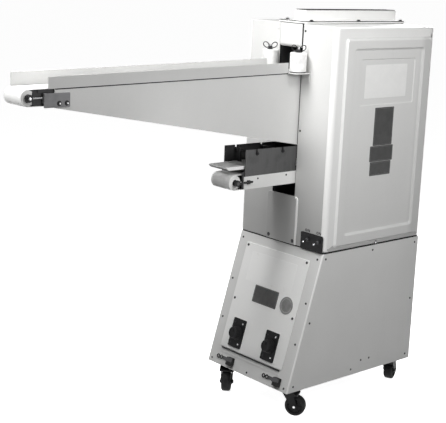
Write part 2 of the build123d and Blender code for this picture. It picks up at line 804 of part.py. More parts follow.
# ----------------------------------------------------------------------------
# switch plate and toggles
# ----------------------------------------------------------------------------
with BuildPart() as switch_plate:
    with BuildSketch(head_face):
        with Locations((168, zb + 556)):
            RectangleRounded(114, 66, 5)
    extrude(amount=5)
    fillet(switch_plate.faces().sort_by(Axis.X)[0].edges(), 1.2)
    for tx, tz in toggle_pos:
        with BuildSketch(head_face):
            with Locations((tx, tz)):
                Circle(7)
        extrude(amount=13)
        with BuildSketch(head_face.offset(3)):
            with Locations((tx, tz)):
                Circle(4.2)
        extrude(amount=12, mode=Mode.SUBTRACT)
save(switch_plate, "switch_plate")

toggle_tilt = 12.0
for tname, (tx, tz) in zip(("toggle_left", "toggle_right"), toggle_pos):
    pivot = Vector(fx - 7.5, -tx, tz)
    lever = Plane(origin=pivot, x_dir=(0, -1, 0),
                  z_dir=(-math.cos(math.radians(toggle_tilt)), 0,
                         -math.sin(math.radians(toggle_tilt))))
    with BuildPart() as toggle:
        with BuildSketch(lever.offset(-3)):
            Circle(2.2)
        extrude(amount=10)
        with BuildSketch(lever.offset(7)):
            Circle(2.2)
        extrude(amount=17, taper=-4)
        fillet(toggle.faces().sort_by(Axis(pivot, lever.z_dir))[-1].edges(), 2.4)
    save(toggle, tname)

# ----------------------------------------------------------------------------
# guide rollers at the dough entry
# ----------------------------------------------------------------------------
with BuildPart() as guide_brackets:
    for sy in (-1, 1):
        # shelf with an upstand on the cover, pin, collar and wing nut
        with Locations((fx - 35, sy * 85, guide_z0 - 8)):
            Box(70, 46, 4, align=(Align.CENTER, Align.CENTER, Align.MIN))
        with Locations((fx - 3, sy * 88, guide_z0 - 36)):
            Box(3, 39, 32, align=(Align.MIN, Align.CENTER, Align.MIN))
        with Locations((guide_x, sy * guide_y, guide_z0 - 4)):
            Cylinder(12, 3.5, align=(Align.CENTER, Align.CENTER, Align.MIN))
            Cylinder(6, guide_z1 - guide_z0 + 22, align=(Align.CENTER, Align.CENTER, Align.MIN))
        with Locations((guide_x, sy * guide_y, guide_z1 + 0.6)):
            Cylinder(10, 2, align=(Align.CENTER, Align.CENTER, Align.MIN))
        with Locations((guide_x, sy * guide_y, guide_z1 + 2.6)):
            Cylinder(9, 9, align=(Align.CENTER, Align.CENTER, Align.MIN))
        for k in (-1, 1):
            with BuildSketch(Plane.XZ.offset(-sy * guide_y - 1.5)):
                with Locations((guide_x + k * 14, guide_z1 + 13)):
                    Ellipse(9, 6.5, rotation=k * 35)
            extrude(amount=3)
save(guide_brackets, "guide_brackets")

for gname, sy in (("guide_roller_near", -1), ("guide_roller_far", 1)):
    with BuildPart() as guide_roller:
        with BuildSketch(Plane.XY.offset(guide_z0)):
            with Locations((guide_x, sy * guide_y)):
                Circle(guide_r)
                Circle(6 + run, mode=Mode.SUBTRACT)
        extrude(amount=guide_z1 - guide_z0)
        fillet(guide_roller.edges().filter_by(GeomType.CIRCLE).filter_by(
            lambda e: e.radius > 20), 2.5)
    save(guide_roller, gname)

# ----------------------------------------------------------------------------
# casters
# ----------------------------------------------------------------------------
with BuildPart() as caster_plates:
    for cx, cy, ang in caster_at.values():
        with Locations((cx, cy, plate_top)):
            Box(86, 66, 4, align=(Align.CENTER, Align.CENTER, Align.MAX))
        with Locations((cx, cy, plate_top - 4)):
            Cylinder(23, 4, align=(Align.CENTER, Align.CENTER, Align.MAX))
            Cylinder(6, 14.5, align=(Align.CENTER, Align.CENTER, Align.MAX))
        with Locations((cx, cy, plate_top - 14)):
            Cylinder(10, 4.5, align=(Align.CENTER, Align.CENTER, Align.MAX))
save(caster_plates, "caster_plates")

crown_top = plate_top - 8.5
for cname, (cx, cy, ang) in caster_at.items():
    a = math.radians(ang)
    leg = Plane(origin=(cx, cy, 0), x_dir=(math.cos(a), math.sin(a), 0),
                z_dir=(math.sin(a), -math.cos(a), 0))
    with BuildPart() as fork:
        with BuildSketch(leg.offset(-23.5)):
            with Locations((2, crown_top - 2.5)):
                Rectangle(44, 5)
            # sloping web between the legs, clear of the tyre
            with BuildLine():
                Polyline((-20, crown_top - 5), (-2.5, crown_top - 32), (0.8, crown_top - 30),
                         (-15, crown_top - 5), close=True)
            make_face()
        extrude(amount=47)
        # shroud over the wheel
        with BuildSketch(leg.offset(-29)):
            with BuildLine():
                Polyline((13, crown_top - 5), (13, crown_top - 22), (46, crown_top - 22),
                         (46, crown_top - 15), (24, crown_top - 3), close=True)
            make_face()
        extrude(amount=58)
        with Locations((cx, cy, crown_top)):
            Cylinder(27, 5, align=(Align.CENTER, Align.CENTER, Align.MAX))
        for off in (-23.5, 20.5):
            with BuildSketch(leg.offset(off)):
                with Locations((2, crown_top - 3)):
                    Rectangle(44, 6)
                with Locations((trail, wheel_r)):
                    Circle(11)
                make_hull()
            extrude(amount=3)
        with BuildSketch(leg.offset(-26.5)):
            with Locations((trail, wheel_r)):
                Circle(axle_r)
        extrude(amount=53)
        for off in (-28, 23.5):
            with BuildSketch(leg.offset(off)):
                with Locations((trail, wheel_r)):
                    RegularPolygon(8.5, 6)
            extrude(amount=4.5)
        with BuildSketch(Plane(origin=(cx, cy, crown_top - 12))):
            Circle(6 + run)
        extrude(amount=14, mode=Mode.SUBTRACT)
    save(fork, f"caster_fork_{cname}")
    with BuildPart() as wheel:
        with BuildSketch(leg.offset(-wheel_w / 2)):
            with Locations((trail, wheel_r)):
                Circle(wheel_r)
        extrude(amount=wheel_w)
        fillet(wheel.edges().filter_by(GeomType.CIRCLE), 5)
        for off, d in ((-wheel_w / 2, 4), (wheel_w / 2, -4)):
            with BuildSketch(leg.offset(off)):
                with Locations((trail, wheel_r)):
                    Circle(27)
                    Circle(10, mode=Mode.SUBTRACT)
            extrude(amount=d, mode=Mode.SUBTRACT)
        with BuildSketch(leg.offset(-wheel_w / 2 - 1)):
            with Locations((trail, wheel_r)):
                Circle(axle_r + run)
        extrude(amount=wheel_w + 2, mode=Mode.SUBTRACT)
    save(wheel, f"caster_wheel_{cname}")

# ----------------------------------------------------------------------------
# panel screws
# ----------------------------------------------------------------------------
side_xz = [(17, 501), (-50, 261), (-119, 22), (200, 23), (530, 22), (534, 262),
           (536, 499), (281, 501), (256, 51), (304, 51)]
front_xy = [(x, -s) for x in (-208, 208) for s in (23.5, 195, 355, 527)] + [(0, -528)]
with BuildPart() as panel_screws:
    for y0, d in ((base_hw, 1), (-base_hw, -1)):
        for px, pz in side_xz:
            with BuildSketch(side(y0)):
                with Locations((fx + px, zb + pz)):
                    Circle(4.2)
            extrude(amount=d * 2.0)
    for px, py in front_xy:
        with BuildSketch(front_face):
            with Locations((px, py)):
                Circle(4.2)
        extrude(amount=2.0)
    for px in (-66.5, 66.5):
        with BuildSketch(head_face.offset(4)):
            with Locations((px, zb + 540)):
                Circle(5.5)
        extrude(amount=2.4)
    for px in (-72, 72):
        for pz in (1340, 1270, 968):
            with BuildSketch(head_face):
                with Locations((px, zb + pz)):
                    Circle(4.0)
            extrude(amount=2.0)
    for y0, d in ((cover_hw, 1), (-cover_hw, -1)):
        with BuildSketch(side(y0)):
            with Locations((fx + 292, zb + 531.5)):
                Circle(5)
        extrude(amount=d * 2.4)
    for y0, d in ((wedge_y0 + wedge_t, 1), (-wedge_y0 - wedge_t, -1)):
        for px in (-194.5, -49):
            with BuildSketch(side(y0)):
                with Locations((fx + px, zb + 802.5)):
                    Circle(3.6)
            extrude(amount=d * 1.8)
        for px in (-1061.5, -1033):
            with BuildSketch(side(y0 + d * 3)):
                with Locations((fx + px, zb + 1124)):
                    RegularPolygon(6.5, 6)
            extrude(amount=d * 4)
    for py in (-64, 64):
        for px in (36, 294, 541):
            with BuildSketch(Plane.XY.offset(head_top + 10.5)):
                with Locations((fx + px, py)):
                    RegularPolygon(6.5, 6)
            extrude(amount=4.5)
    for py in (-210, 0, 210):
        for pz in (25, 262, 498):
            with BuildSketch(Plane.YZ.offset(fx + depth)):
                with Locations((py, zb + pz)):
                    Circle(4.2)
            extrude(amount=2.0)
save(panel_screws, "panel_screws")
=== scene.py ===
import math

import bmesh
import bpy
from mathutils import Matrix, Vector


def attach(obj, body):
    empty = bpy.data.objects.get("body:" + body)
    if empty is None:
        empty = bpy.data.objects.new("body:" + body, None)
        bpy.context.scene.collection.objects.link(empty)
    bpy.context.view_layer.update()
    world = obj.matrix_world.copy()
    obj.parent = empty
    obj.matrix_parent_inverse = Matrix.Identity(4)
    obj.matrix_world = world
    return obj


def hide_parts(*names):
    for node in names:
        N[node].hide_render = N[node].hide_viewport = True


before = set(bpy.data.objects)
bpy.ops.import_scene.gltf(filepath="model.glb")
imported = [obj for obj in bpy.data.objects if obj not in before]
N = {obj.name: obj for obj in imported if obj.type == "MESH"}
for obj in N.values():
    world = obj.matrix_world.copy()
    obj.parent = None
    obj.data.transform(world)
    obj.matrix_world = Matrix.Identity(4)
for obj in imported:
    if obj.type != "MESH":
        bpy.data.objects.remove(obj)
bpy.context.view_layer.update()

# ----------------------------------------------------------------------------
# placing, repeated from the construction (millimetres; pieces are made in metres)
# ----------------------------------------------------------------------------
MM = 0.001
fx, zb, zt = 316.5, 110.0, 631.0
depth, flare, base_h = 556.0, 152.0, 521.0
head_top = 1475.0
base_hw, cover_hw, slot_hw = 229.0, 231.0, 62.0
phi = math.atan2(flare, base_h)
cp, sp = math.cos(phi), math.sin(phi)


def guard_z(x):
    return zb + 1186.5 + 0.015 * (x - fx)


nose_x, nose_z = fx - 1166.0, guard_z(fx - 1166.0) + 1.0 - 27.3
dis_x, dis_z = fx - 298.0, zb + 793.0
tab_x = fx - 1116.0
guide_x, guide_y, guide_z0, guide_z1 = fx - 35.0, 76.5, zb + 1192.0, zb + 1262.0
knob_pos = [(-99.0, -396.0), (89.0, -396.0)]
door_screw_pos = [(-164.0, -46.5), (164.0, -46.5), (-164.0, -266.0), (164.0, -266.0)]
toggle_pos = [(149.0, zb + 564.0), (205.0, zb + 564.0)]
stops = [(-172.5, -509.5, -114.0), (93.0, -510.0, 153.0)]
caster_at = {
    "front_near": (fx - 90.0, -172.0, -58.0),
    "front_far": (fx - 100.0, 163.0, 222.0),
    "back_near": (fx + 505.0, -166.0, 24.0),
    "back_far": (fx + 505.0, 166.0, 118.0),
}
crown_top, wheel_r, trail = 104.0, 40.0, 34.0


def axes(ox, oy, oz, xd, yd, zd):
    """Placing matrix in metres from an origin in mm and three axis directions."""
    m = Matrix.Identity(4)
    for i, d in enumerate((xd, yd, zd)):
        for k in range(3):
            m[k][i] = d[k]
    m.translation = Vector((ox, oy, oz)) * MM
    return m


def on_slope(x, y, h=0.0):
    return axes(fx + y * sp - h * cp, -x, zt + y * cp + h * sp,
                (0, -1, 0), (sp, 0, cp), (-cp, 0, sp))


def on_head(x, z, h=0.0):
    return axes(fx - h, -x, z, (0, -1, 0), (0, 0, 1), (-1, 0, 0))


def on_near(x, z, y):
    return axes(x, -y, z, (1, 0, 0), (0, 0, 1), (0, -1, 0))


def on_far(x, z, y):
    return axes(x, y, z, (-1, 0, 0), (0, 0, 1), (0, 1, 0))


def on_side(sy, x, z, y):
    return on_near(x, z, y) if sy < 0 else on_far(x, z, y)


def on_top(x, y, z):
    return axes(x, y, z, (1, 0, 0), (0, 1, 0), (0, 0, 1))


def on_back(y, z, x):
    return axes(x, y, z, (0, 1, 0), (0, 0, 1), (1, 0, 0))


def along_x(x, y, z):
    return axes(x, y, z, (0, 1, 0), (0, 0, 1), (1, 0, 0))


def turned(m, deg):
    return m @ Matrix.Rotation(math.radians(deg), 4, "Z")


# ----------------------------------------------------------------------------
# materials
# ----------------------------------------------------------------------------
class Mat:
    """Small helper round a node tree with one Principled shader."""

    def __init__(self, name):
        self.m = bpy.data.materials.new(name)
        self.m.use_nodes = True
        self.t = self.m.node_tree
        self.t.nodes.clear()
        out = self.t.nodes.new("ShaderNodeOutputMaterial")
        self.b = self.t.nodes.new("ShaderNodeBsdfPrincipled")
        self.t.links.new(self.b.outputs[0], out.inputs[0])
        self.tc = self.t.nodes.new("ShaderNodeTexCoord").outputs["Object"]

    def link(self, a, b):
        self.t.links.new(a, b)

    def set(self, **kw):
        for k, v in kw.items():
            self.b.inputs[k.replace("_", " ")].default_value = v

    def mapped(self, scale, rot=(0, 0, 0)):
        n = self.t.nodes.new("ShaderNodeMapping")
        n.inputs["Scale"].default_value = scale
        n.inputs["Rotation"].default_value = rot
        self.link(self.tc, n.inputs["Vector"])
        return n.outputs[0]

    def noise(self, scale, detail=3.0, rough=0.55, vec=None, distort=0.0):
        n = self.t.nodes.new("ShaderNodeTexNoise")
        n.inputs["Scale"].default_value = scale
        n.inputs["Detail"].default_value = detail
        n.inputs["Roughness"].default_value = rough
        n.inputs["Distortion"].default_value = distort
        self.link(vec or self.tc, n.inputs["Vector"])
        return n.outputs["Fac"]

    def span(self, val, a, b, c=0.0, d=1.0):
        n = self.t.nodes.new("ShaderNodeMapRange")
        n.clamp = True
        n.inputs["From Min"].default_value = a
        n.inputs["From Max"].default_value = b
        n.inputs["To Min"].default_value = c
        n.inputs["To Max"].default_value = d
        self.link(val, n.inputs["Value"])
        return n.outputs[0]

    def math(self, op, a, b):
        n = self.t.nodes.new("ShaderNodeMath")
        n.operation = op
        for i, v in enumerate((a, b)):
            if isinstance(v, (int, float)):
                n.inputs[i].default_value = v
            else:
                self.link(v, n.inputs[i])
        return n.outputs[0]

    def mix(self, fac, a, b):
        n = self.t.nodes.new("ShaderNodeMix")
        n.data_type = "RGBA"
        self.link(fac, n.inputs["Factor"])
        for key, v in (("A", a), ("B", b)):
            sock = [s for s in n.inputs if s.name == key and s.type == "RGBA"][0]
            if isinstance(v, tuple):
                sock.default_value = (*v, 1.0)
            else:
                self.link(v, sock)
        return [s for s in n.outputs if s.type == "RGBA"][0]

    def edges(self, radius=0.003, lo=0.86, hi=0.995):
        """1 near sharp outer edges, 0 on flats."""
        bev = self.t.nodes.new("ShaderNodeBevel")
        bev.samples = 4
        bev.inputs["Radius"].default_value = radius
        geo = self.t.nodes.new("ShaderNodeNewGeometry")
        dot = self.t.nodes.new("ShaderNodeVectorMath")
        dot.operation = "DOT_PRODUCT"
        self.link(bev.outputs[0], dot.inputs[0])
        self.link(geo.outputs["Normal"], dot.inputs[1])
        return self.span(dot.outputs["Value"], lo, hi, 1.0, 0.0)

    def bump(self, height, strength, dist, prev=None):
        n = self.t.nodes.new("ShaderNodeBump")
        n.inputs["Strength"].default_value = strength
        n.inputs["Distance"].default_value = dist
        self.link(height, n.inputs["Height"])
        if prev is not None:
            self.link(prev, n.inputs["Normal"])
        return n.outputs[0]

    def color(self, sock):
        self.link(sock, self.b.inputs["Base Color"])

    def rough(self, sock):
        self.link(sock, self.b.inputs["Roughness"])

    def normal(self, sock):
        self.link(sock, self.b.inputs["Normal"])


def times(c, k):
    return tuple(min(1.0, v * k) for v in c)


def paint(name, col, r0=0.33, r1=0.46, peel=0.10, mottle=0.045, grime=0.10, wear=0.30,
          wear_col=(0.40, 0.40, 0.40), grain=0.05, spec=0.45):
    """Satin enamel on sheet metal: orange peel, faint mottling, run-down grime, chipped edges."""
    m = Mat(name)
    big = m.span(m.noise(2.6, 4.0), 0.32, 0.70)
    c = m.mix(big, times(col, 1 - mottle), times(col, 1 + mottle * 0.4))
    fine = m.span(m.noise(240.0, 2.0, 0.6), 0.32, 0.68)
    c = m.mix(m.math("MULTIPLY", fine, grain * 2), c, times(col, 0.80))
    streak = m.span(m.noise(1.0, 5.0, 0.6, m.mapped((26, 26, 2.2))), 0.52, 0.80)
    patch = m.span(m.noise(5.5, 3.0), 0.45, 0.70)
    c = m.mix(m.math("MULTIPLY", m.math("MULTIPLY", streak, patch), grime),
              c, times(col, 0.62))
    speck = m.span(m.noise(430.0, 1.0), 0.70, 0.76)
    c = m.mix(m.math("MULTIPLY", speck, 0.18), c, times(col, 0.55))
    if wear:
        chips = m.span(m.noise(95.0, 4.0, 0.7), 0.50, 0.62)
        c = m.mix(m.math("MULTIPLY", m.math("MULTIPLY", m.edges(0.0025), chips), wear),
                  c, wear_col)
    m.color(c)
    m.rough(m.span(m.noise(14.0, 4.0), 0.3, 0.7, r0, r1))
    m.normal(m.bump(m.noise(520.0, 2.0), peel, 0.0006,
                    m.bump(m.noise(9.0, 2.0), 0.06, 0.004)))
    m.set(IOR=1.5, Specular_IOR_Level=spec)
    return m.m


def moulded(name, col, foot=0.0, rear=0.0):
    """Gel-coated moulding: soft sheen, fine pebble grain, slight dulling in patches.

    foot is how far the colour is darkened towards the bottom, a painted shade for the conveyor's shade on the lower
    front; rear darkens it towards the rear edge, a painted shade for the light falling off away from the left."""
    m = Mat(name)
    big = m.span(m.noise(2.1, 4.0), 0.3, 0.7)
    c = m.mix(big, times(col, 0.955), times(col, 1.015))
    dull = m.span(m.noise(6.0, 5.0, 0.62), 0.48, 0.72)
    c = m.mix(m.math("MULTIPLY", dull, 0.10), c, times(col, 0.88))
    fine = m.span(m.noise(250.0, 2.0, 0.6), 0.32, 0.68)
    c = m.mix(m.math("MULTIPLY", fine, 0.10), c, times(col, 0.80))
    scuff = m.span(m.noise(1.0, 6.0, 0.7, m.mapped((30, 30, 7), (0, 0.5, 0))), 0.60, 0.74)
    c = m.mix(m.math("MULTIPLY", scuff, 0.10), c, times(col, 0.66))
    speck = m.span(m.noise(380.0, 1.0), 0.69, 0.75)
    c = m.mix(m.math("MULTIPLY", speck, 0.20), c, times(col, 0.60))
    if foot:
        axis = m.t.nodes.new("ShaderNodeSeparateXYZ")
        m.link(m.tc, axis.inputs[0])
        high = m.math("ADD", axis.outputs["Z"], m.span(m.noise(3.0, 4.0, 0.6), 0.3, 0.7, -0.03, 0.03))
        # painted shade: darker towards the bottom
        c = m.mix(m.span(high, 1.10, 0.72, 0.0, foot), c, times(col, 0.30))
    if rear:
        axis = m.t.nodes.new("ShaderNodeSeparateXYZ")
        m.link(m.tc, axis.inputs[0])
        # painted shade: darker towards the rear edge
        c = m.mix(m.span(axis.outputs["X"], 0.786, 0.814, 0.0, rear), c, times(col, 0.30))
    m.color(c)
    m.rough(m.span(m.noise(18.0, 4.0), 0.3, 0.7, 0.36, 0.50))
    m.normal(m.bump(m.noise(760.0, 2.0), 0.16, 0.0005,
                    m.bump(m.noise(5.0, 2.0), 0.08, 0.006)))
    m.set(IOR=1.5, Specular_IOR_Level=0.45)
    return m.m


def steel(name, col, r0=0.26, r1=0.42, grain=(6, 420, 420), metallic=1.0, stain=0.25):
    """Brushed metal: fine lines along one direction, dull patches."""
    m = Mat(name)
    line = m.noise(1.0, 3.0, 0.6, m.mapped(grain))
    c = m.mix(m.span(line, 0.3, 0.7), times(col, 0.86), times(col, 1.10))
    blot = m.span(m.noise(22.0, 4.0, 0.6), 0.48, 0.72)
    c = m.mix(m.math("MULTIPLY", blot, stain), c, times(col, 0.55))
    m.color(c)
    m.rough(m.math("ADD", m.span(line, 0.25, 0.75, r0, r1),
                   m.span(blot, 0.0, 1.0, 0.0, 0.10)))
    m.normal(m.bump(line, 0.10, 0.0003))
    m.set(Metallic=metallic)
    return m.m


def plastic(name, col, r0=0.36, r1=0.50, grain=900.0, strength=0.16, dust=0.10,
            dust_col=(0.42, 0.42, 0.41), rub=0.16, spec=0.5):
    """Moulded plastic: fine grain, flour dust that settles in patches, paler rubbed edges."""
    m = Mat(name)
    big = m.span(m.noise(30.0, 3.0), 0.3, 0.7)
    c = m.mix(big, times(col, 0.80), times(col, 1.18))
    d = m.span(m.noise(42.0, 5.0, 0.65), 0.54, 0.80)
    c = m.mix(m.math("MULTIPLY", d, dust), c, dust_col)
    e = m.edges(0.0014, 0.80, 0.99)
    c = m.mix(m.math("MULTIPLY", e, rub), c, tuple(v * 0.5 + 0.16 for v in col))
    m.color(c)
    m.rough(m.span(m.noise(60.0, 3.0), 0.3, 0.7, r0, r1))
    m.normal(m.bump(m.noise(grain, 2.0), strength, 0.0004))
    m.set(Specular_IOR_Level=spec)
    return m.m


def rubber(name, col, scale=700.0, dust=0.10):
    m = Mat(name)
    big = m.span(m.noise(45.0, 4.0, 0.6), 0.35, 0.72)
    c = m.mix(big, times(col, 0.75), tuple(v * 1.2 + 0.008 for v in col))
    d = m.span(m.noise(16.0, 5.0, 0.65), 0.52, 0.78)
    c = m.mix(m.math("MULTIPLY", d, dust), c, (0.30, 0.295, 0.285))
    m.color(c)
    m.rough(m.span(m.noise(50.0, 3.0), 0.3, 0.7, 0.58, 0.78))
    m.normal(m.bump(m.noise(scale, 2.0), 0.22, 0.0005))
    m.set(Specular_IOR_Level=0.25)
    return m.m


def belt_mat(name, col, run_darkening=0.0):
    """Woven food belt: fine cross weave under a matt skin, faint lengthways soiling.

    worn is how much darker the belt is made along the run between the guards."""
    m = Mat(name)
    waves = []
    for d in ("X", "Y"):
        w = m.t.nodes.new("ShaderNodeTexWave")
        w.bands_direction = d
        w.inputs["Scale"].default_value = 160.0
        w.inputs["Distortion"].default_value = 0.4
        m.link(m.tc, w.inputs["Vector"])
        waves.append(w.outputs["Fac"])
    weave = m.math("MULTIPLY", *waves)
    c = m.mix(m.span(weave, 0.0, 0.8), times(col, 0.93), times(col, 1.03))
    soil = m.span(m.noise(1.0, 5.0, 0.6, m.mapped((3, 60, 20))), 0.46, 0.80)
    c = m.mix(m.math("MULTIPLY", soil, 0.20), c, times(col, 0.70))
    if run_darkening:
        axis = m.t.nodes.new("ShaderNodeSeparateXYZ")
        m.link(m.tc, axis.inputs[0])
        c = m.mix(m.span(axis.outputs["X"], -0.79, -0.64, 0.0, run_darkening), c, times(col, 0.30))
    m.color(c)
    m.rough(m.span(m.noise(30.0, 3.0), 0.3, 0.7, 0.55, 0.72))
    m.normal(m.bump(weave, 0.20, 0.0004))
    return m.m


def label_mat(name, col, alt, rough=0.32):
    """Printed foil or film: slight mottling, fine scratches, soft sheen."""
    m = Mat(name)
    a = m.span(m.noise(26.0, 5.0, 0.66), 0.34, 0.70)
    c = m.mix(a, col, alt)
    s = m.span(m.noise(1.0, 4.0, 0.7, m.mapped((18, 300, 300), (0, 0.6, 0.3))), 0.64, 0.74)
    c = m.mix(m.math("MULTIPLY", s, 0.18), c, tuple(v * 0.6 + 0.16 for v in col))
    m.color(c)
    m.rough(m.span(m.noise(40.0, 4.0), 0.3, 0.7, rough - 0.06, rough + 0.10))
    m.normal(m.bump(m.noise(160.0, 3.0), 0.06, 0.0004))
    return m.m


def grey(v):
    return (v, v, v * 0.985)


P = {
    "paint": paint("paint_white", grey(0.75)),
    "paint_skin": paint("paint_skin", grey(0.76)),
    # a brighter copy of the white paint, a painted highlight on the base's folded corners and the lower cover's right
    # and top edges; also used on the stop feet and their screws
    "paint_highlight": paint("paint_highlight", grey(0.93), wear=0.10),
    "paint_door": paint("paint_door", grey(0.96)),
    "paint_lid": paint("paint_lid", grey(0.84), wear=0.10),
    "paint_wedge": paint("paint_wedge", grey(0.655)),
    "paint_guard": paint("paint_guard", grey(0.58)),
    "paint_head": paint("paint_head", grey(0.76), wear=0.15),
    # darker copy of the head paint for the lower front cover, a painted shade for the conveyor's shade on it
    "paint_lower_shade": paint("paint_lower_shade", grey(0.46), wear=0.10),
    "frame": paint("paint_frame_grey", (0.20, 0.203, 0.206), grime=0.3),
    # lit and shaded copies of one moulding: the plain one darkened towards the bottom as painted shade, a darker copy
    # for the top as painted shade, two paler copies for rim and corner as painted highlight, and the field darkened
    # towards the rear edge as painted shade
    "cover": moulded("moulded_cover", grey(0.73), 0.47),
    "cover_shaded_top": moulded("moulded_shaded_top", grey(0.55)),
    "cover_lit_rim": moulded("moulded_lit_rim", grey(0.86)),
    "cover_lit_edge": moulded("moulded_lit_edge", grey(0.93)),
    "cover_field": moulded("moulded_field", grey(0.74), 0.0, 0.24),
    "lid_mat": rubber("rubber_mat", (0.055, 0.055, 0.055), 500.0, 0.08),
    "inner": paint("paint_inner_dark", (0.030, 0.030, 0.031), 0.5, 0.65, 0.10, 0.15, 0.2, 0.0),
    "dark": steel("steel_dark", (0.098, 0.098, 0.0985), 0.42, 0.56, (420, 420, 8), 0.45, 0.40),
    "dark_far_shade": steel("steel_dark_far", (0.050, 0.050, 0.051), 0.48, 0.60, (420, 420, 8), 0.4, 0.40),
    # near-black steel for the conveyor beds, a painted shade for the dark gaps beside the rollers; the conveyor support
    # takes it too
    "darker": steel("steel_bed_dark", (0.028, 0.028, 0.029), 0.50, 0.62, (8, 420, 420), 0.4, 0.3),
    "bracket": steel("steel_bracket", (0.15, 0.15, 0.154), 0.44, 0.56, (8, 420, 420), 0.45, 0.3),
    "strap": steel("steel_strap", (0.085, 0.085, 0.088), 0.42, 0.54, (300, 8, 300), 0.5, 0.3),
    "mid": steel("steel_mid", (0.42, 0.42, 0.43), 0.30, 0.45),
    "axle": steel("steel_axle", (0.36, 0.36, 0.37), 0.28, 0.42, (420, 8, 420)),
    "bright": steel("steel_bright", (0.66, 0.66, 0.67), 0.20, 0.34, (300, 300, 300)),
    "screw": steel("steel_screw", (0.055, 0.055, 0.057), 0.28, 0.40, (300, 300, 300), 0.7),
    "blackox": steel("steel_black_oxide", (0.018, 0.018, 0.019), 0.42, 0.56, (300, 300, 300), 0.5),
    "alu": steel("alu_turned", (0.60, 0.605, 0.615), 0.28, 0.42, (420, 12, 420)),
    "plate": steel("alu_plate", (0.30, 0.303, 0.306), 0.40, 0.54, (300, 300, 12)),
    "chrome": steel("chrome", (0.78, 0.79, 0.80), 0.07, 0.14, (200, 200, 200), 1.0, 0.08),
    "black": plastic("plastic_black", (0.0085, 0.0085, 0.009), 0.48, 0.62, dust=0.015, rub=0.03, spec=0.18),
    "blackfork": paint("paint_black", (0.007, 0.007, 0.0075), 0.46, 0.60, 0.10, 0.2, 0.2, 0.20, (0.05, 0.05, 0.05), spec=0.2),
    "nylon": plastic("nylon_white", grey(0.77), 0.40, 0.54, 600.0, 0.10, 0.05, (0.60, 0.60, 0.59), 0.05),
    "board_lit_edge": plastic("nylon_board_edge", grey(0.90), 0.44, 0.56, 500.0, 0.12, 0.04, (0.60, 0.60, 0.59), 0.06),
    "board_shaded_under": plastic("nylon_board_under", grey(0.10), 0.50, 0.62, 500.0, 0.12, 0.04, (0.20, 0.20, 0.20), 0.06),
    "board": plastic("nylon_board", grey(0.44), 0.44, 0.56, 500.0, 0.12, 0.10, (0.50, 0.50, 0.49), 0.20),
    "rubber": rubber("rubber_black", (0.009, 0.009, 0.009), 700.0, 0.04),
    "tyre": rubber("rubber_wheel", (0.007, 0.007, 0.0075), 500.0, 0.02),
    "hub": plastic("plastic_hub", (0.009, 0.009, 0.0095), 0.46, 0.60, dust=0.015, rub=0.05, spec=0.2),
    "belt": belt_mat("belt_woven", grey(0.95), 0.75),
    "belt_low": belt_mat("belt_woven_low", grey(0.94)),
    "motor": paint("paint_motor", (0.16, 0.17, 0.175), 0.4, 0.55, 0.3, 0.1, 0.4),
    "film": label_mat("film_white", grey(0.88), grey(0.84)),
    "film_door": label_mat("film_door", grey(0.97), grey(0.95)),
    "foil": label_mat("foil_dark", grey(0.026), grey(0.044), 0.42),
    "foil_black": label_mat("foil_black", grey(0.018), grey(0.034), 0.42),
    "foil_door": label_mat("foil_door", grey(0.055), grey(0.090), 0.40),
    "badge": label_mat("foil_grey", grey(0.20), grey(0.32), 0.36),
    "rim": label_mat("foil_pale", grey(0.42), grey(0.50), 0.34),
    "mark": label_mat("print_dark", grey(0.012), grey(0.02), 0.5),
}


def give(node, key):
    o = N[node]
    o.data.materials.clear()
    o.data.materials.append(P[key])
    for p in o.data.polygons:
        p.material_index = 0


def soften(node, width, segments=2, angle=35.0):
    """Rounds a CAD node's sharp edges with a bevel modifier."""
    b = N[node].modifiers.new("edge", "BEVEL")
    b.width = width * MM
    b.segments = segments
    b.limit_method = "ANGLE"
    b.angle_limit = math.radians(angle)
    b.harden_normals = False
    b.use_clamp_overlap = True


for node, key in {
    "base_frame": "frame", "base_side_panels": "paint", "base_back_panel": "paint",
    "power_inlet": "black", "base_front_skin": "paint", "front_top_panel": "paint_head",
    "front_lower_panel": "paint_head", "rear_panel": "paint_head", "top_cover": "paint_head",
    "frame_plates": "inner", "tie_bars": "blackox", "wedge_plates": "paint_wedge",
    "guard_rails": "paint_guard", "conveyor_bed": "darker", "infeed_belt": "belt",
    "roller_shafts": "blackox", "take_up_brackets": "bracket", "take_up_screws": "mid",
    "conveyor_support": "darker", "discharge_rails": "paint_head", "discharge_bed": "darker",
    "discharge_belt": "belt_low", "guard_plates": "dark", "board_hangers": "blackox",
    "pressure_board": "board", "shaft_bearings": "plate", "gearmotors": "motor",
    "drive_belt": "rubber", "hinge_fixed_leaf": "paint", "stop_straps": "blackox",
    "stop_blocks": "rubber", "switch_plate": "black", "guide_brackets": "paint_head",
    "caster_plates": "blackfork", "panel_screws": "screw", "control_panel": "paint_door",
    "hinge_door_leaf": "paint", "gang_plates": "black", "door_screws": "screw",
    "speed_knob_left": "black", "speed_knob_right": "black", "toggle_left": "chrome",
    "toggle_right": "chrome", "guide_roller_near": "nylon", "guide_roller_far": "nylon",
    "infeed_drive_roller": "axle", "infeed_nose_roller": "nylon", "knife_rotor": "axle",
    "discharge_drive_roller": "axle", "discharge_nose_roller": "nylon",
    "side_cover_near": "cover", "side_cover_far": "cover",
}.items():
    give(node, key)
for k in caster_at:
    give("caster_fork_" + k, "blackfork")
    give("caster_wheel_" + k, "tyre")
# hinge leaves are painted, their knuckles bare dark steel, dark enough to give the shadow line under the door's bottom
# edge as painted shade
back = on_slope(0, 0).inverted()
for node in ("hinge_fixed_leaf", "hinge_door_leaf"):
    N[node].data.materials.append(P["blackox"])
    for p in N[node].data.polygons:
        q = back @ p.center
        if math.hypot(q.y + 0.471, q.z - 0.0030) < 0.00275:
            p.material_index = 1
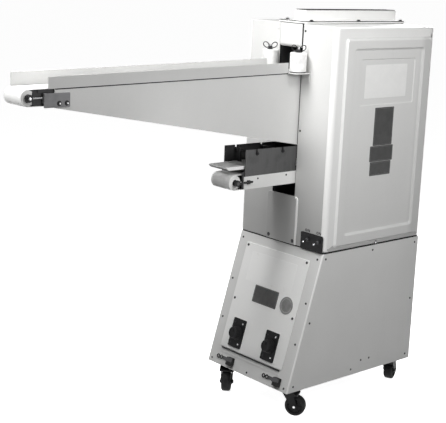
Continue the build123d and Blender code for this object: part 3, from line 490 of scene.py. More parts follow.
# the far guard plate takes a darker copy of the steel, a painted shade on its shaded inner face
N["guard_plates"].data.materials.append(P["dark_far_shade"])
for p in N["guard_plates"].data.polygons:
    if p.center.y > 0:
        p.material_index = 1
# the near dough guard is given a darker grey than the far one, which takes the wedge paint
N["guard_rails"].data.materials.append(P["paint_wedge"])
for p in N["guard_rails"].data.polygons:
    if p.center.y > 0:
        p.material_index = 1
# the pressure board is split by facing: a grey top, a paler copy on its edges as painted highlight and a dark copy
# underneath as painted shade
for key in ("board_lit_edge", "board_shaded_under"):
    N["pressure_board"].data.materials.append(P[key])
for p in N["pressure_board"].data.polygons:
    p.material_index = 0 if p.normal.z > 0.93 else 2 if p.normal.z < -0.55 else 1
for node, w in (("wedge_plates", 0.8), ("guard_rails", 0.8), ("discharge_rails", 0.8),
                ("base_side_panels", 0.7), ("conveyor_support", 1.5)):
    soften(node, w)

# ----------------------------------------------------------------------------
# camera at the photograph's viewing angle
# ----------------------------------------------------------------------------
yaw, pitch, roll = math.radians(41.668), math.radians(12.37), math.radians(2.461)
fwd = Vector((math.sin(yaw) * math.cos(pitch), math.cos(yaw) * math.cos(pitch), -math.sin(pitch)))
r0 = Vector((math.cos(yaw), -math.sin(yaw), 0))
u0 = r0.cross(fwd)
right = r0 * math.cos(roll) + u0 * math.sin(roll)
up = -r0 * math.sin(roll) + u0 * math.cos(roll)
cam_data = bpy.data.cameras.new("camera")
cam = bpy.data.objects.new("camera", cam_data)
bpy.context.scene.collection.objects.link(cam)
cm = Matrix.Identity(4)
for i, v in enumerate((right, up, -fwd)):
    for k in range(3):
        cm[k][i] = v[k]
cm.translation = Vector((-2959.02 + fx, -2772.58 - 231.0, 1576.26 + zb)) * MM
cam.matrix_world = cm
cam_data.sensor_fit = "HORIZONTAL"
cam_data.sensor_width = 36.0
cam_data.lens = 36.0 * 1113.78 / 446.0
cam_data.shift_x = -(227.28 - 223.0) / 446.0
cam_data.shift_y = (206.56 - 211.5) / 446.0
cam_data.clip_start, cam_data.clip_end = 0.05, 300.0
cam_data.dof.use_dof = False
bpy.context.scene.camera = cam

# ----------------------------------------------------------------------------
# floor and light
# ----------------------------------------------------------------------------
bpy.context.scene.view_settings.view_transform = "Standard"
bm = bmesh.new()
bmesh.ops.create_circle(bm, cap_ends=True, segments=96, radius=90.0)
floor_me = bpy.data.meshes.new("floor")
bm.to_mesh(floor_me)
bm.free()
floor = bpy.data.objects.new("floor", floor_me)
bpy.context.scene.collection.objects.link(floor)
fm = Mat("floor_pale")
fm.color(fm.mix(fm.span(fm.noise(0.7, 3.0), 0.3, 0.7), (0.90, 0.90, 0.90), (0.93, 0.93, 0.93)))
fm.set(Roughness=0.85, Specular_IOR_Level=0.1, Emission_Color=(1.0, 1.0, 1.0, 1.0),
       Emission_Strength=0.96)
floor.data.materials.append(fm.m)
floor.visible_diffuse = False

world = bpy.data.worlds.new("studio")
bpy.context.scene.world = world
world.use_nodes = True
wt = world.node_tree
bg = wt.nodes["Background"]
bg.inputs["Color"].default_value = (1.0, 1.0, 1.0, 1.0)
lp = wt.nodes.new("ShaderNodeLightPath")
mr = wt.nodes.new("ShaderNodeMapRange")
mr.inputs["To Min"].default_value = 0.02
mr.inputs["To Max"].default_value = 1.0
wt.links.new(lp.outputs["Is Camera Ray"], mr.inputs["Value"])
wt.links.new(mr.outputs[0], bg.inputs["Strength"])


def area(name, loc, target, size, watts, size_y=None):
    d = bpy.data.lights.new(name, "AREA")
    d.shape = "RECTANGLE" if size_y else "DISK"
    d.size = size
    if size_y:
        d.size_y = size_y
    d.energy = watts
    o = bpy.data.objects.new(name, d)
    bpy.context.scene.collection.objects.link(o)
    o.location = loc
    o.rotation_mode = "QUATERNION"
    o.rotation_quaternion = (Vector(target) - Vector(loc)).to_track_quat("-Z", "Y")
    o.visible_camera = False
    return o


AIM = (0.3, -0.05, 1.1)
area("front_top", (-0.6, 0.06, 2.65), AIM, 0.8, 32.0)
area("front_box", (-1.7, -0.08, 2.6), AIM, 2.0, 29.0, 0.8)
area("near_high", (0.2, -1.6, 2.8), AIM, 0.7, 14.0)
area("near_low", (0.22, -1.75, 1.6), AIM, 0.8, 15.0)
area("back_fill", (2.6, 0.6, 2.0), AIM, 1.4, 45.0)
area("far_fill", (0.5, 2.6, 2.2), AIM, 1.4, 40.0)
area("low_fill", (-0.36, -0.34, 0.96), (0.05, 0.0, 0.88), 0.4, 0.3)
area("nose_fill", (-1.70, -0.02, 1.10), (-0.85, 0.0, 1.24), 0.3, 0.17).data.spread = math.radians(36)

# ----------------------------------------------------------------------------
# mesh helpers
# ----------------------------------------------------------------------------


def put(name, bm, mats, body, nodes=(), smooth=40.0):
    """Makes the piece, gives it its materials and body, and hides the nodes it stands for."""
    me = bpy.data.meshes.new(name)
    bmesh.ops.recalc_face_normals(bm, faces=bm.faces)
    bm.to_mesh(me)
    bm.free()
    o = bpy.data.objects.new(name, me)
    bpy.context.scene.collection.objects.link(o)
    for k in (mats if isinstance(mats, (list, tuple)) else [mats]):
        me.materials.append(P[k])
    me.polygons.foreach_set("use_smooth", [True] * len(me.polygons))
    me.set_sharp_from_angle(angle=math.radians(smooth))
    wn = o.modifiers.new("normals", "WEIGHTED_NORMAL")
    wn.keep_sharp = True
    wn.weight = 90
    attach(o, body)
    if nodes:
        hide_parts(*nodes)
    return o


def rrc(x0, x1, y0, y1, rad, seg=8, edge=8):
    """Rounded rectangle, anticlockwise from the upper right corner, one radius per corner."""
    pts = []
    rad = [max(r, 0.01) for r in rad]
    place = ((x1, y1, -1, -1, 0), (x0, y1, 1, -1, 90), (x0, y0, 1, 1, 180), (x1, y0, -1, 1, 270))
    arcs = []
    for (cx, cy, ux, uy, a0), r in zip(place, rad):
        arcs.append([(cx + ux * r + r * math.cos(math.radians(a0 + 90 * i / seg)),
                      cy + uy * r + r * math.sin(math.radians(a0 + 90 * i / seg)))
                     for i in range(seg + 1)])
    for i in range(4):
        pts += arcs[i]
        a, b = arcs[i][-1], arcs[(i + 1) % 4][0]
        for k in range(1, edge):
            t = k / edge
            pts.append((a[0] + (b[0] - a[0]) * t, a[1] + (b[1] - a[1]) * t))
    return pts


def rr(x0, x1, y0, y1, r, seg=8, edge=8):
    return rrc(x0, x1, y0, y1, (r, r, r, r), seg, edge)


def loft(bm, rings, m, cap0=True, cap1=True, idx=0, wrap=False, bands=None):
    """Quads between rings of 3-D points (mm, local); caps at the ends, or joined end to end.

    bands gives some bands a material of their own, by number."""
    bands = bands or {}
    rows = [[bm.verts.new(m @ (Vector(p) * MM)) for p in ring] for ring in rings]
    n = len(rings[0])
    pairs = list(zip(rows, rows[1:]))
    if wrap:
        pairs.append((rows[-1], rows[0]))
    for k, (a, b) in enumerate(pairs):
        for i in range(n):
            bm.faces.new((a[i], a[(i + 1) % n], b[(i + 1) % n], b[i])).material_index = bands.get(k, idx)
    if not wrap:
        if cap0:
            bm.faces.new(list(reversed(rows[0]))).material_index = idx
        if cap1:
            bm.faces.new(rows[-1]).material_index = idx
    return rows


def tablet(bm, m, x0, x1, y0, y1, r, h0, h1, soft=0.6, idx=0, seg=6, low=0.0, rim=None):
    """Rounded plate from h0 to h1 with a softened top edge, and bottom edge if low is given.

    rim is the material number of the softened top edge."""
    rad = r if isinstance(r, (tuple, list)) else (r, r, r, r)

    def ring(ins, h):
        return [(x, y, h) for x, y in rrc(x0 + ins, x1 - ins, y0 + ins, y1 - ins,
                                          [max(q - ins, 0.05) for q in rad], seg, 4)]
    rings = []
    if low:
        for k in range(3, 0, -1):
            a = math.radians(30 * k)
            rings.append(ring(low * (1 - math.cos(a)), h0 + low - low * math.sin(a)))
        rings.append(ring(0, h0 + low))
    else:
        rings.append(ring(0, h0))
    for k in range(0, 4):
        a = math.radians(30 * k)
        rings.append(ring(soft * (1 - math.cos(a)), h1 - soft + soft * math.sin(a)))
    n = len(rings)
    loft(bm, rings, m, idx=idx, bands={} if rim is None else {k: rim for k in range(n - 4, n - 1)})


def lathe(bm, profile, m, seg=40, idx=0, shape=None, wrap=False):
    """Turned form from (radius, height) pairs about local z; r 0 at an end closes it."""
    rows = []
    for r, z in profile:
        if r <= 1e-6:
            rows.append([bm.verts.new(m @ (Vector((0, 0, z)) * MM))])
        else:
            ring = []
            for i in range(seg):
                a = 2 * math.pi * i / seg
                q = r if shape is None else shape(r, z, a)
                ring.append(bm.verts.new(m @ (Vector((q * math.cos(a), q * math.sin(a), z)) * MM)))
            rows.append(ring)
    pairs = list(zip(rows, rows[1:]))
    if wrap:
        pairs.append((rows[-1], rows[0]))
    for a, b in pairs:
        for i in range(seg):
            j = (i + 1) % seg
            if len(a) == 1:
                f = bm.faces.new((a[0], b[j], b[i]))
            elif len(b) == 1:
                f = bm.faces.new((a[i], a[j], b[0]))
            else:
                f = bm.faces.new((a[i], a[j], b[j], b[i]))
            f.material_index = idx
    if not wrap:
        for row, flip in ((rows[0], True), (rows[-1], False)):
            if len(row) > 1:
                bm.faces.new(list(reversed(row)) if flip else row).material_index = idx


def shrink(pts, d):
    """Convex outline moved in by d."""
    out = []
    n = len(pts)
    for i in range(n):
        p, q, s = Vector(pts[i - 1]), Vector(pts[i]), Vector(pts[(i + 1) % n])
        a, b = (q - p).normalized(), (s - q).normalized()
        na, nb = Vector((-a.y, a.x)), Vector((-b.y, b.x))
        k = na + nb
        k = k / max(0.35, k.length_squared / 2)
        out.append((q.x + k.x * d, q.y + k.y * d))
    return out


def prism(bm, pts, m, h0, h1, soft=0.6, idx=0):
    """Anticlockwise convex outline raised from h0 to h1 with softened edges on both faces."""
    rings = []
    for k in (2, 1, 0):
        a = math.radians(45 * k)
        rings.append([(x, y, h0 + soft * (1 - math.sin(a)))
                      for x, y in shrink(pts, soft * (1 - math.cos(a)))])
    for k in (0, 1, 2):
        a = math.radians(45 * k)
        rings.append([(x, y, h1 - soft * (1 - math.sin(a)))
                      for x, y in shrink(pts, soft * (1 - math.cos(a)))])
    loft(bm, rings, m, idx=idx)


def hull(pts):
    """Convex outline of 2-D points, anticlockwise."""
    pts = sorted(set((round(x, 4), round(y, 4)) for x, y in pts))

    def half(seq):
        out = []
        for p in seq:
            while len(out) > 1 and ((out[-1][0] - out[-2][0]) * (p[1] - out[-2][1])
                                    - (out[-1][1] - out[-2][1]) * (p[0] - out[-2][0])) <= 1e-9:
                out.pop()
            out.append(p)
        return out[:-1]
    return half(pts) + half(reversed(pts))


def round_pts(cx, cy, r, n=24):
    return [(cx + r * math.cos(2 * math.pi * i / n), cy + r * math.sin(2 * math.pi * i / n))
            for i in range(n)]


def threaded(bm, m, r, z0, z1, pitch=1.5, seg=20, idx=0, dip=0.09):
    """Rod with thread crests."""
    prof = [(0, z0), (r * (1 - dip), z0)]
    z = z0 + 0.4
    while z + pitch < z1 - 0.2:
        prof += [(r * (1 - dip), z), (r, z + 0.3 * pitch), (r, z + 0.5 * pitch), (r * (1 - dip), z + 0.8 * pitch)]
        z += pitch
    prof += [(r * (1 - dip), z1), (0, z1)]
    lathe(bm, prof, m, seg, idx)


def tube(bm, pts, r, m, seg=10, idx=0, closed=False):
    """Round wire along points (mm, local)."""
    n = len(pts)
    rows = []
    ref = Vector((0.123, 0.456, 0.881)).normalized()
    for i in range(n):
        if closed:
            t = Vector(pts[(i + 1) % n]) - Vector(pts[i - 1])
        else:
            t = Vector(pts[min(i + 1, n - 1)]) - Vector(pts[max(i - 1, 0)])
        t.normalize()
        u = (ref - t * ref.dot(t)).normalized()
        v = t.cross(u)
        ref = u
        rows.append([tuple(Vector(pts[i]) + (u * math.cos(2 * math.pi * k / seg) + v * math.sin(2 * math.pi * k / seg)) * r)
                     for k in range(seg)])
    loft(bm, rows, m, idx=idx, wrap=closed)


def screw_template(r, h, arm, wide, deep):
    """Mesh of a pan head with a cross recess, cut once and copied."""
    bm = bmesh.new()
    prof = [(0, 0), (r, 0), (r, 0.22 * h)]
    for k in range(1, 7):
        a = math.radians(15 * k)
        prof.append((r * math.cos(a) ** 0.75 if k < 6 else 0, 0.22 * h + 0.78 * h * math.sin(a)))
    lathe(bm, prof, Matrix.Identity(4), 28)
    bmesh.ops.recalc_face_normals(bm, faces=bm.faces)
    me = bpy.data.meshes.new("tmp_head")
    bm.to_mesh(me)
    bm.free()
    head = bpy.data.objects.new("tmp_head", me)
    bm = bmesh.new()
    a, w = arm, wide
    pts = [(a, w), (w, w), (w, a), (-w, a), (-w, w), (-a, w), (-a, -w), (-w, -w), (-w, -a), (w, -a), (w, -w), (a, -w)]
    rings = [[(x * k, y * k, z) for x, y in pts] for k, z in ((0.45, h - deep), (1.0, h + 0.4))]
    loft(bm, rings, Matrix.Identity(4))
    bmesh.ops.recalc_face_normals(bm, faces=bm.faces)
    me2 = bpy.data.meshes.new("tmp_cut")
    bm.to_mesh(me2)
    bm.free()
    cut = bpy.data.objects.new("tmp_cut", me2)
    for o in (head, cut):
        bpy.context.scene.collection.objects.link(o)
    mod = head.modifiers.new("cut", "BOOLEAN")
    mod.operation = "DIFFERENCE"
    mod.object = cut
    mod.solver = "EXACT"
    bpy.context.view_layer.update()
    dg = bpy.context.evaluated_depsgraph_get()
    made = bpy.data.meshes.new_from_object(head.evaluated_get(dg))
    for o in (head, cut):
        bpy.data.objects.remove(o)
    return made


def hex_rings(r, z0, z1, bevel=0.9):
    """Rings of a hexagon with chamfered corners at both ends."""
    def ring(k, z):
        return [(r * k * math.cos(math.radians(60 * i)), r * k * math.sin(math.radians(60 * i)), z)
                for i in range(6)]
    return [ring(0.95, z0), ring(1.0, z0 + 0.3), ring(1.0, z1 - bevel), ring(0.955, z1 - 0.4 * bevel), ring(0.86, z1)]


def hex_template(r, h, washer=None):
    """Mesh of a hexagon head with a turned chamfer, on a washer if asked."""
    bm = bmesh.new()
    z0 = 0.0
    if washer:
        lathe(bm, [(0, 0), (washer, 0), (washer, 0.9), (washer - 0.4, 1.2), (0, 1.2)], Matrix.Identity(4), 32)
        z0 = 1.1
    loft(bm, hex_rings(r, z0, h), Matrix.Identity(4))
    lathe(bm, [(0, h - 0.1), (r * 0.70, h - 0.02), (r * 0.66, h + 0.12), (0, h + 0.16)], Matrix.Identity(4), 24)
    bmesh.ops.recalc_face_normals(bm, faces=bm.faces)
    me = bpy.data.meshes.new("tmp_hex")
    bm.to_mesh(me)
    bm.free()
    return me


def stamp(bm, template, m, idx=0):
    """Adds a copy of a template mesh at a placing matrix."""
    vs = [bm.verts.new(m @ v.co) for v in template.vertices]
    for p in template.polygons:
        bm.faces.new([vs[i] for i in p.vertices]).material_index = idx


count = 0


def turn():
    """A different but fixed angle for each screw."""
    global count
    count += 1
    return (count * 47) % 90


pan = screw_template(4.2, 2.0, 2.3, 0.55, 1.2)
pan_big = screw_template(5.4, 2.4, 3.0, 0.65, 1.4)
pan_small = screw_template(3.5, 1.7, 2.0, 0.5, 1.1)
pan_ring = screw_template(4.4, 2.2, 2.4, 0.6, 1.2)
hexa = hex_template(6.3, 4.3, 8.2)
hexa_lid = hex_template(6.3, 4.8, 8.6)

# ----------------------------------------------------------------------------
# moulded side covers: lofted so that every step in the face is a soft curve
# ----------------------------------------------------------------------------
frame_r = (fx + 50, fx + 540, zb + 541, zb + 1324)
rec_r = (fx + 97, fx + 494, zb + 581, zb + 1287)
lab_r = (fx + 142, fx + 452, zb + 1073, zb + 1246)


def cover(name, node, sy, R):
    bm = bmesh.new()
    x0, x1, z0, z1 = fx, fx + depth, zt + 4.4, head_top

    def ring(y, box, r):
        return [(x, sy * y, z) for x, z in rr(*box, r, 8, 10)]

    def inset(box, d, low=None, top=None):
        return (box[0] + d, box[1] - d, box[2] + (d if low is None else low), box[3] - (d if top is None else top))

    out = (x0, x1, z0, z1)
    rings = [
        # inner face, then round the open edge at the slot
        ring(cover_hw - 7.5, inset(out, 6.0), 10),
        ring(slot_hw + 12.0, inset(out, 4.0, 2.0), 4),
        ring(slot_hw + 0.4, inset(out, 3.2, 1.0), 2),
        ring(slot_hw, inset(out, 2.6, 0.8), 2),
        ring(slot_hw, inset(out, 0.5, 0.2), 3),
        ring(slot_hw + 0.5, inset(out, 0.0, 0.0), 3),
        ring(slot_hw + 60, out, 4),
    ]
    for k in range(0, 9):
        a = math.radians(90 * k / 8)
        d = R * (1 - math.cos(a))
        rings.append(ring(cover_hw - R + R * math.sin(a), inset(out, d, 0.22 * d, 0.40 * d), 4 + 6 * k / 8))
    rings.append(ring(cover_hw, inset(out, R + 6, 4.0, 0.40 * R + 4), 12))
    # up onto the raised frame
    for d, h in ((-2.2, 0.0), (-0.9, 0.10), (0.2, 0.55), (1.1, 1.25), (6.9, 6.10), (7.8, 6.62), (8.9, 6.92), (10.2, 7.0)):
        rings.append(ring(cover_hw + h, inset(frame_r, d, 0.85 * d), 13 - 0.55 * d))
    # flat band, then down into the sunk field
    for d, h in ((-1.9, 7.0), (-0.8, 6.92), (0.3, 6.55), (1.1, 5.95), (7.6, 0.05), (8.4, -0.55), (9.4, -0.90), (10.6, -1.0)):
        rings.append(ring(cover_hw + h, inset(rec_r, d, d, 0.85 * d), 14 - 0.55 * d))
    # flat field, then into the label field
    for d, h in ((-1.0, -1.0), (-0.3, -1.08), (0.35, -1.50), (2.3, -3.10), (2.9, -3.42), (3.7, -3.5)):
        rings.append(ring(cover_hw + h, inset(lab_r, d), 7 - 0.5 * d))
    # the faces take the lit and shaded copies of the moulding: a painted highlight on the front corner and the left
    # rise of the frame, a paler rim that is painted highlight too, a darker top that is painted shade, and the plain
    # front strips with their painted shade towards the bottom
    bands = {k: 2 for k in range(7, 15)}
    bands.update({15: 1, 16: 1})
    bands.update({k: 3 for k in range(17, 38)})
    bands.update({k: 2 for k in range(18, 23)})
    loft(bm, rings, Matrix.Identity(4), bands=bands)
    for f in bm.faces:
        mid = f.calc_center_median()
        x, z = mid.x / MM, mid.z / MM
        if len(f.verts) > 30 and abs(mid.y) > 0.22:
            f.material_index = 3
        elif z > head_top - 1.5:
            f.material_index = 4
        elif f.material_index == 2 and abs(mid.y) * 1000 < cover_hw + 0.02:
            if x > fx + 20:
                f.material_index = 3 if z > zb + 900 or x > x1 - R - 2 else 1
        elif f.material_index == 2 and x > fx + 62:
            f.material_index = 3
        elif f.material_index == 1 and z < zb + 545:
            f.material_index = 0
    put(name, bm, ["cover", "cover_lit_rim", "cover_lit_edge", "cover_field", "cover_shaded_top"], "frame", [node], 32.0)


cover("cover_near_shell", "side_cover_near", -1, 18.0)
cover("cover_far_shell", "side_cover_far", 1, 11.0)

# dark seal between head and deck, and under the lid
bm = bmesh.new()
tablet(bm, on_top(0, 0, 0), fx + 1.6, fx + depth - 1.6, -cover_hw + 1.6, cover_hw - 1.6, 10, zt, zt + 5.0, 0.6)
put("head_seal", bm, "rubber", "frame")

# ----------------------------------------------------------------------------
# lid: folded tray on a seal, raised box, dark vent strip along the top of the box
# ----------------------------------------------------------------------------
bm = bmesh.new()
tablet(bm, on_top(0, 0, 0), fx + 1.0, fx + depth - 1.0, -76, 76, 5, head_top + 1.4, head_top + 7.4, 0.8, low=0.6)
tablet(bm, on_top(0, 0, 0), fx + 8.0, fx + depth - 8.0, -69, 69, 3, head_top + 7.0, head_top + 10.4, 0.3)
tablet(bm, on_top(0, 0, 0), fx + 38, fx + 552, -30, 30, 5, head_top + 10.0, head_top + 49.0, 3.0)
for f in bm.faces:
    if f.calc_center_median().z > (head_top + 46) * MM:
        f.material_index = 1
put("lid_shell", bm, ["paint_lid", "paint_wedge"], "frame", ["top_cover"])
# dark rubber under the tray and a dark mat round its upper edge: a seal, dark enough to stand in also as painted shade
# for the shadow gap under the tray
bm = bmesh.new()
tablet(bm, on_top(0, 0, 0), fx + 3.5, fx + depth - 3.5, -73.5, 73.5, 4, head_top + 0.3, head_top + 2.0, 0.4)
loft(bm, [[(x, y, head_top + h) for x, y in rr(fx + 1.8 + i, fx + depth - 1.8 - i, -75.2 + i, 75.2 - i, 5 - 0.2 * i, 5, 6)]
          for i, h in ((0, 7.0), (0, 9.8), (0.3, 10.3), (0.9, 10.5), (7.1, 10.5), (7.7, 10.3), (8.0, 9.8), (8.0, 7.0))],
     Matrix.Identity(4), idx=1, wrap=True)
put("lid_seal", bm, ["rubber", "lid_mat"], "frame")
bm = bmesh.new()
g0, g1 = head_top + 48.2, head_top + 51.0
loft(bm, [[(x, y, h) for x, y in rr(fx + 40.5 + i, fx + 549.5 - i, -27.5 + i, 27.5 - i, 4 - 0.4 * i, 5, 6)]
          for i, h in ((0, g0), (0, g1 - 0.7), (0.3, g1 - 0.2), (0.9, g1), (4.6, g1), (5.2, g1 - 0.3), (5.4, g1 - 1.6), (5.4, g0))],
     Matrix.Identity(4), wrap=True)
loft(bm, [[(x, y, h) for x, y in rr(fx + 45.6, fx + 544.4, -22.4, 22.4, 2, 3, 4)] for h in (g0 - 0.5, g0 + 1.0)], Matrix.Identity(4))
for i in range(41):
    x = fx + 52 + i * 12.15
    prism(bm, [(x - 3.6, -21.6), (x + 3.6, -21.6), (x + 3.6, 21.6), (x - 3.6, 21.6)], on_top(0, 0, 0), g0 + 0.6, g1 - 0.3, 0.5)
put("lid_vent", bm, "blackox", "frame")

# ----------------------------------------------------------------------------
# base: front skin folded round its upright edges
# ----------------------------------------------------------------------------
bm = bmesh.new()
R, hw = 5.0, base_hw + 0.6


def skin_ring(xh, h, ins=0.0):
    y1, y0 = (-0.3 - ins - h * sp) / cp, (-(base_h - 0.3 - ins) - h * sp) / cp
    return [(x, y, h) for x, y in rr(-xh, xh, y0, y1, 0.2, 8, 10)]


def opening_ring(grow, h):
    return [(x, y, h) for x, y in rr(-150 - grow, 150 + grow, -455 - grow, -60 + grow, 12 + grow, 8, 10)]


rings = [opening_ring(0, -2.5), opening_ring(0, -0.7), opening_ring(0.2, -0.2), opening_ring(0.7, 0.0), skin_ring(hw - R, 0.0)]
for k in range(1, 8):
    a = math.radians(90 * k / 7)
    rings.append(skin_ring(hw - R + R * math.sin(a), -R * (1 - math.cos(a))))
rings += [skin_ring(hw, -17.0), skin_ring(hw - 0.6, -17.4, 0.2), skin_ring(hw - 1.4, -17.0, 1.2), skin_ring(hw - 1.4, -R, 1.2), skin_ring(hw - R, -2.5, 1.2)]
# the folds round the upright edges take the brighter paint, a painted highlight along them
loft(bm, rings, on_slope(0, 0), wrap=True, bands={k: 1 for k in range(4, 11)})
put("base_front_fold", bm, ["paint_skin", "paint_highlight"], "frame", ["base_front_skin"], 30.0)

bm = bmesh.new()
for sx, sy in door_screw_pos:
    lathe(bm, [(2.9, -3.0), (2.9, 0.7), (3.6, 0.95), (5.4, 0.8), (6.0, 0.1), (6.0, -0.2), (4.4, -0.4), (4.4, -3.0)], on_slope(sx, sy), 24, wrap=True)
put("door_screw_sockets", bm, "axle", "frame")

# ----------------------------------------------------------------------------
# head front panels
# ----------------------------------------------------------------------------
bm = bmesh.new()
prof = [(0, head_top - 1), (0, zb + 1290)]
for k in range(1, 10):
    a = math.radians(10 * k)
    prof.append((14 * (1 - math.cos(a)), zb + 1290 - 14 * math.sin(a)))
prof += [(20, zb + 1276), (20, zb + 1278.5), (14, zb + 1278.5)]
for k in range(8, -1, -1):
    a = math.radians(10 * k)
    prof.append((2.5 + 11.5 * (1 - math.cos(a)), zb + 1290 - 11.5 * math.sin(a)))
prof += [(2.5, head_top - 1)]
rings = [[(x, z, -q) for q, z in prof] for x in (-60.8, 54.5)]
loft(bm, rings, on_head(0, 0))
put("front_top_hem", bm, "paint_head", "frame", ["front_top_panel"], 30.0)

bm = bmesh.new()
rings = []
for ins, h in ((0, 0), (0, 1.2), (0.4, 2.6), (1.2, 3.5), (2.4, 4.0), (7.5, 4.0), (12.0, 4.0)):
    rings.append([(x, z, h) for x, z in rrc(-83 + ins, 83 - ins, zt + 4.4 + ins, zb + 714 - ins, [max(q - ins, 2.0) for q in (14, 14, 4, 4)], 8, 10)])
loft(bm, rings, on_head(0, 0))
# the cover is the darker paint, a painted shade, and its right and top edges the brighter paint, a painted highlight
for f in bm.faces:
    p = f.calc_center_median()
    if len(f.verts) == 4 and (p.y < -0.0755 or (p.z > (zb + 707) * MM and p.y < -0.064)):
        f.material_index = 1
put("front_lower_cover", bm, ["paint_lower_shade", "paint_highlight"], "frame", ["front_lower_panel"])

# ----------------------------------------------------------------------------
# control panel
# ----------------------------------------------------------------------------
bm = bmesh.new()
tablet(bm, on_slope(0, 0), -176, 176, -466, -36, 4, 1.5, 3.5, 1.0, low=0.3)
loft(bm, [[(x, y, h) for x, y in rr(-142 + i, 142 - i, -447 + i, -68 - i, 3 - 0.5 * i, 4, 6)]
          for i, h in ((0, 1.9), (0, -12.0), (0.4, -12.5), (1.6, -12.5), (2.0, -12.0), (2.0, 1.9))], on_slope(0, 0), wrap=True)
put("control_door", bm, "paint_door", "door", ["control_panel"])

bm = bmesh.new()
tablet(bm, on_slope(0, 0), -132, 121, -183, -66, 3, 3.4, 3.9, 0.3)
put("door_label_blank", bm, "film_door", "door")
bm = bmesh.new()
tablet(bm, on_slope(0, 0), -68, 65, -256, -188.5, 2.5, 3.4, 4.2, 0.4)
loft(bm, [[(x, y, h) for x, y in rr(-64 + i, 61 - i, -252.5 + i, -192 - i, 2, 4, 4)]
          for i, h in ((0, 4.1), (0.1, 4.4), (0.6, 4.4), (0.7, 4.1))], on_slope(0, 0), idx=1, wrap=True)
put("door_plate_blank", bm, ["foil_door", "badge"], "door")
bm = bmesh.new()
lathe(bm, [(0, 3.4), (34, 3.4), (34, 4.0), (33.5, 4.4), (30.5, 4.4), (30.2, 4.1), (0, 4.1)], on_slope(117, -227), 64, 0)
lathe(bm, [(27.5, 4.05), (27.5, 4.3), (27.1, 4.4), (26.4, 4.4), (26.0, 4.3), (26.0, 4.05)], on_slope(117, -227), 64, 1, wrap=True)
put("door_badge_blank", bm, ["badge", "rim"], "door")

# cover plates of the speed controls
bm = bmesh.new()
for kx, ky in knob_pos:
    tablet(bm, on_slope(kx, ky), -35.5, 35.5, -57.5, 57.5, 5, 3.5, 8.0, 1.4)
    for i in range(11):
        a = math.radians(90 + 150 - 30 * i)
        m = on_slope(kx, ky) @ Matrix.Rotation(a, 4, "Z")
        prism(bm, [(29.6, -0.6), (33.0, -0.6), (33.0, 0.6), (29.6, 0.6)], m, 7.9, 8.5, 0.2)
put("gang_plate_pair", bm, "black", "door", ["gang_plates"])

for side, (kx, ky) in zip(("left", "right"), knob_pos):
    bm = bmesh.new()

    def flute(r, z, a):
        if 12.5 < z < 30.5 and r > 10:
            return r * (1 - 0.055 * (0.5 + 0.5 * math.cos(20 * a)) ** 1.5)
        return r
    lathe(bm, [(0, 8.6), (28, 8.6), (28.0, 10.6), (27.6, 11.4), (26.6, 11.9), (25.2, 12.2), (24.8, 13.0), (24.4, 18.0), (23.9, 24.0),
               (23.3, 29.0), (22.6, 30.8), (21.4, 32.2), (19.8, 33.0), (18.0, 33.1), (16.5, 32.6), (15.8, 32.2), (0, 32.0)],
          on_slope(kx, ky), 120, 0, flute)
    lathe(bm, [(0, -6), (2.6, -6), (3.0, -5.4), (3.0, 9), (0, 9)], on_slope(kx, ky), 20, 1)
    prism(bm, [(-1.6, 3.0), (1.6, 3.0), (1.2, 20.5), (-1.2, 20.5)], on_slope(kx, ky), 31.6, 34.5, 0.5, 0)
    put("speed_knob_grip_" + side, bm, ["black", "axle"], "knob_" + side, ["speed_knob_" + side], 30.0)

bm = bmesh.new()
for sx, sy in door_screw_pos:
    stamp(bm, pan_big, turned(on_slope(sx, sy, 3.5), turn()), 0)
    lathe(bm, [(0, -2.5), (2.3, -2.5), (2.75, -1.9), (2.75, 3.6), (0, 3.6)], on_slope(sx, sy), 18, 0)
# on each plate the left screws take black-oxide steel and the right ones bright steel, a painted shade and a painted
# highlight on alike screws
for kx, ky in knob_pos:
    for ux in (-20.5, 20.5):
        for uy in (-41, 41):
            stamp(bm, pan_small, turned(on_slope(kx + ux, ky + uy, 8.0), turn()), 1 if ux < 0 else 2)
put("door_screw_heads", bm, ["screw", "blackox", "bright"], "door", ["door_screws"], 35.0)

# ----------------------------------------------------------------------------
# door stops: bent straps on two screws, rubber blocks
# ----------------------------------------------------------------------------
bm = bmesh.new()
for sx, sy, bx in stops:
    # painted foot under two dark rings, then the bare strap up to the block; the foot and the screw heads take the
    # brighter paint, a painted highlight
    tablet(bm, on_slope(0, 0), sx - 8, sx + 27, sy - 6.5, sy + 6.5, 3, 0, 1.2, 0.4, idx=1)
    tablet(bm, on_slope(0, 0), sx + 25, bx, sy - 6.5, sy + 6.5, 1.5, 0, 2.5, 0.7)
    prism(bm, [(bx - 2.5, sy - 6.5), (bx, sy - 6.5), (bx, sy + 6.5), (bx - 2.5, sy + 6.5)], on_slope(0, 0), 0.5, 16.0, 0.5)
    prism(bm, [(bx - 2.5, sy - 6.5), (bx + 14, sy - 4), (bx + 34, sy - 2), (bx + 34, sy + 13.5), (bx + 10, sy + 13.5), (bx - 2.5, sy + 6.5)],
          on_slope(0, 0), 14.0, 16.5, 0.6)
    for k in (0, 18):
        lathe(bm, [(4.4, 1.0), (8.6, 1.0), (8.6, 3.4), (8.0, 4.1), (5.0, 4.1), (4.4, 3.5)], on_slope(sx + k, sy), 32, 2, wrap=True)
        stamp(bm, pan_small, turned(on_slope(sx + k, sy, 1.0), turn()), 1)
put("stop_strap_pair", bm, ["strap", "paint_highlight", "blackox"], "frame", ["stop_straps"])
bm = bmesh.new()
for sx, sy, bx in stops:
    tablet(bm, on_slope(0, 0), bx, bx + 34, sy - 20.5, sy + 13.5, 4, 0, 14.0, 1.8)
put("stop_block_pair", bm, "rubber", "frame", ["stop_blocks"])

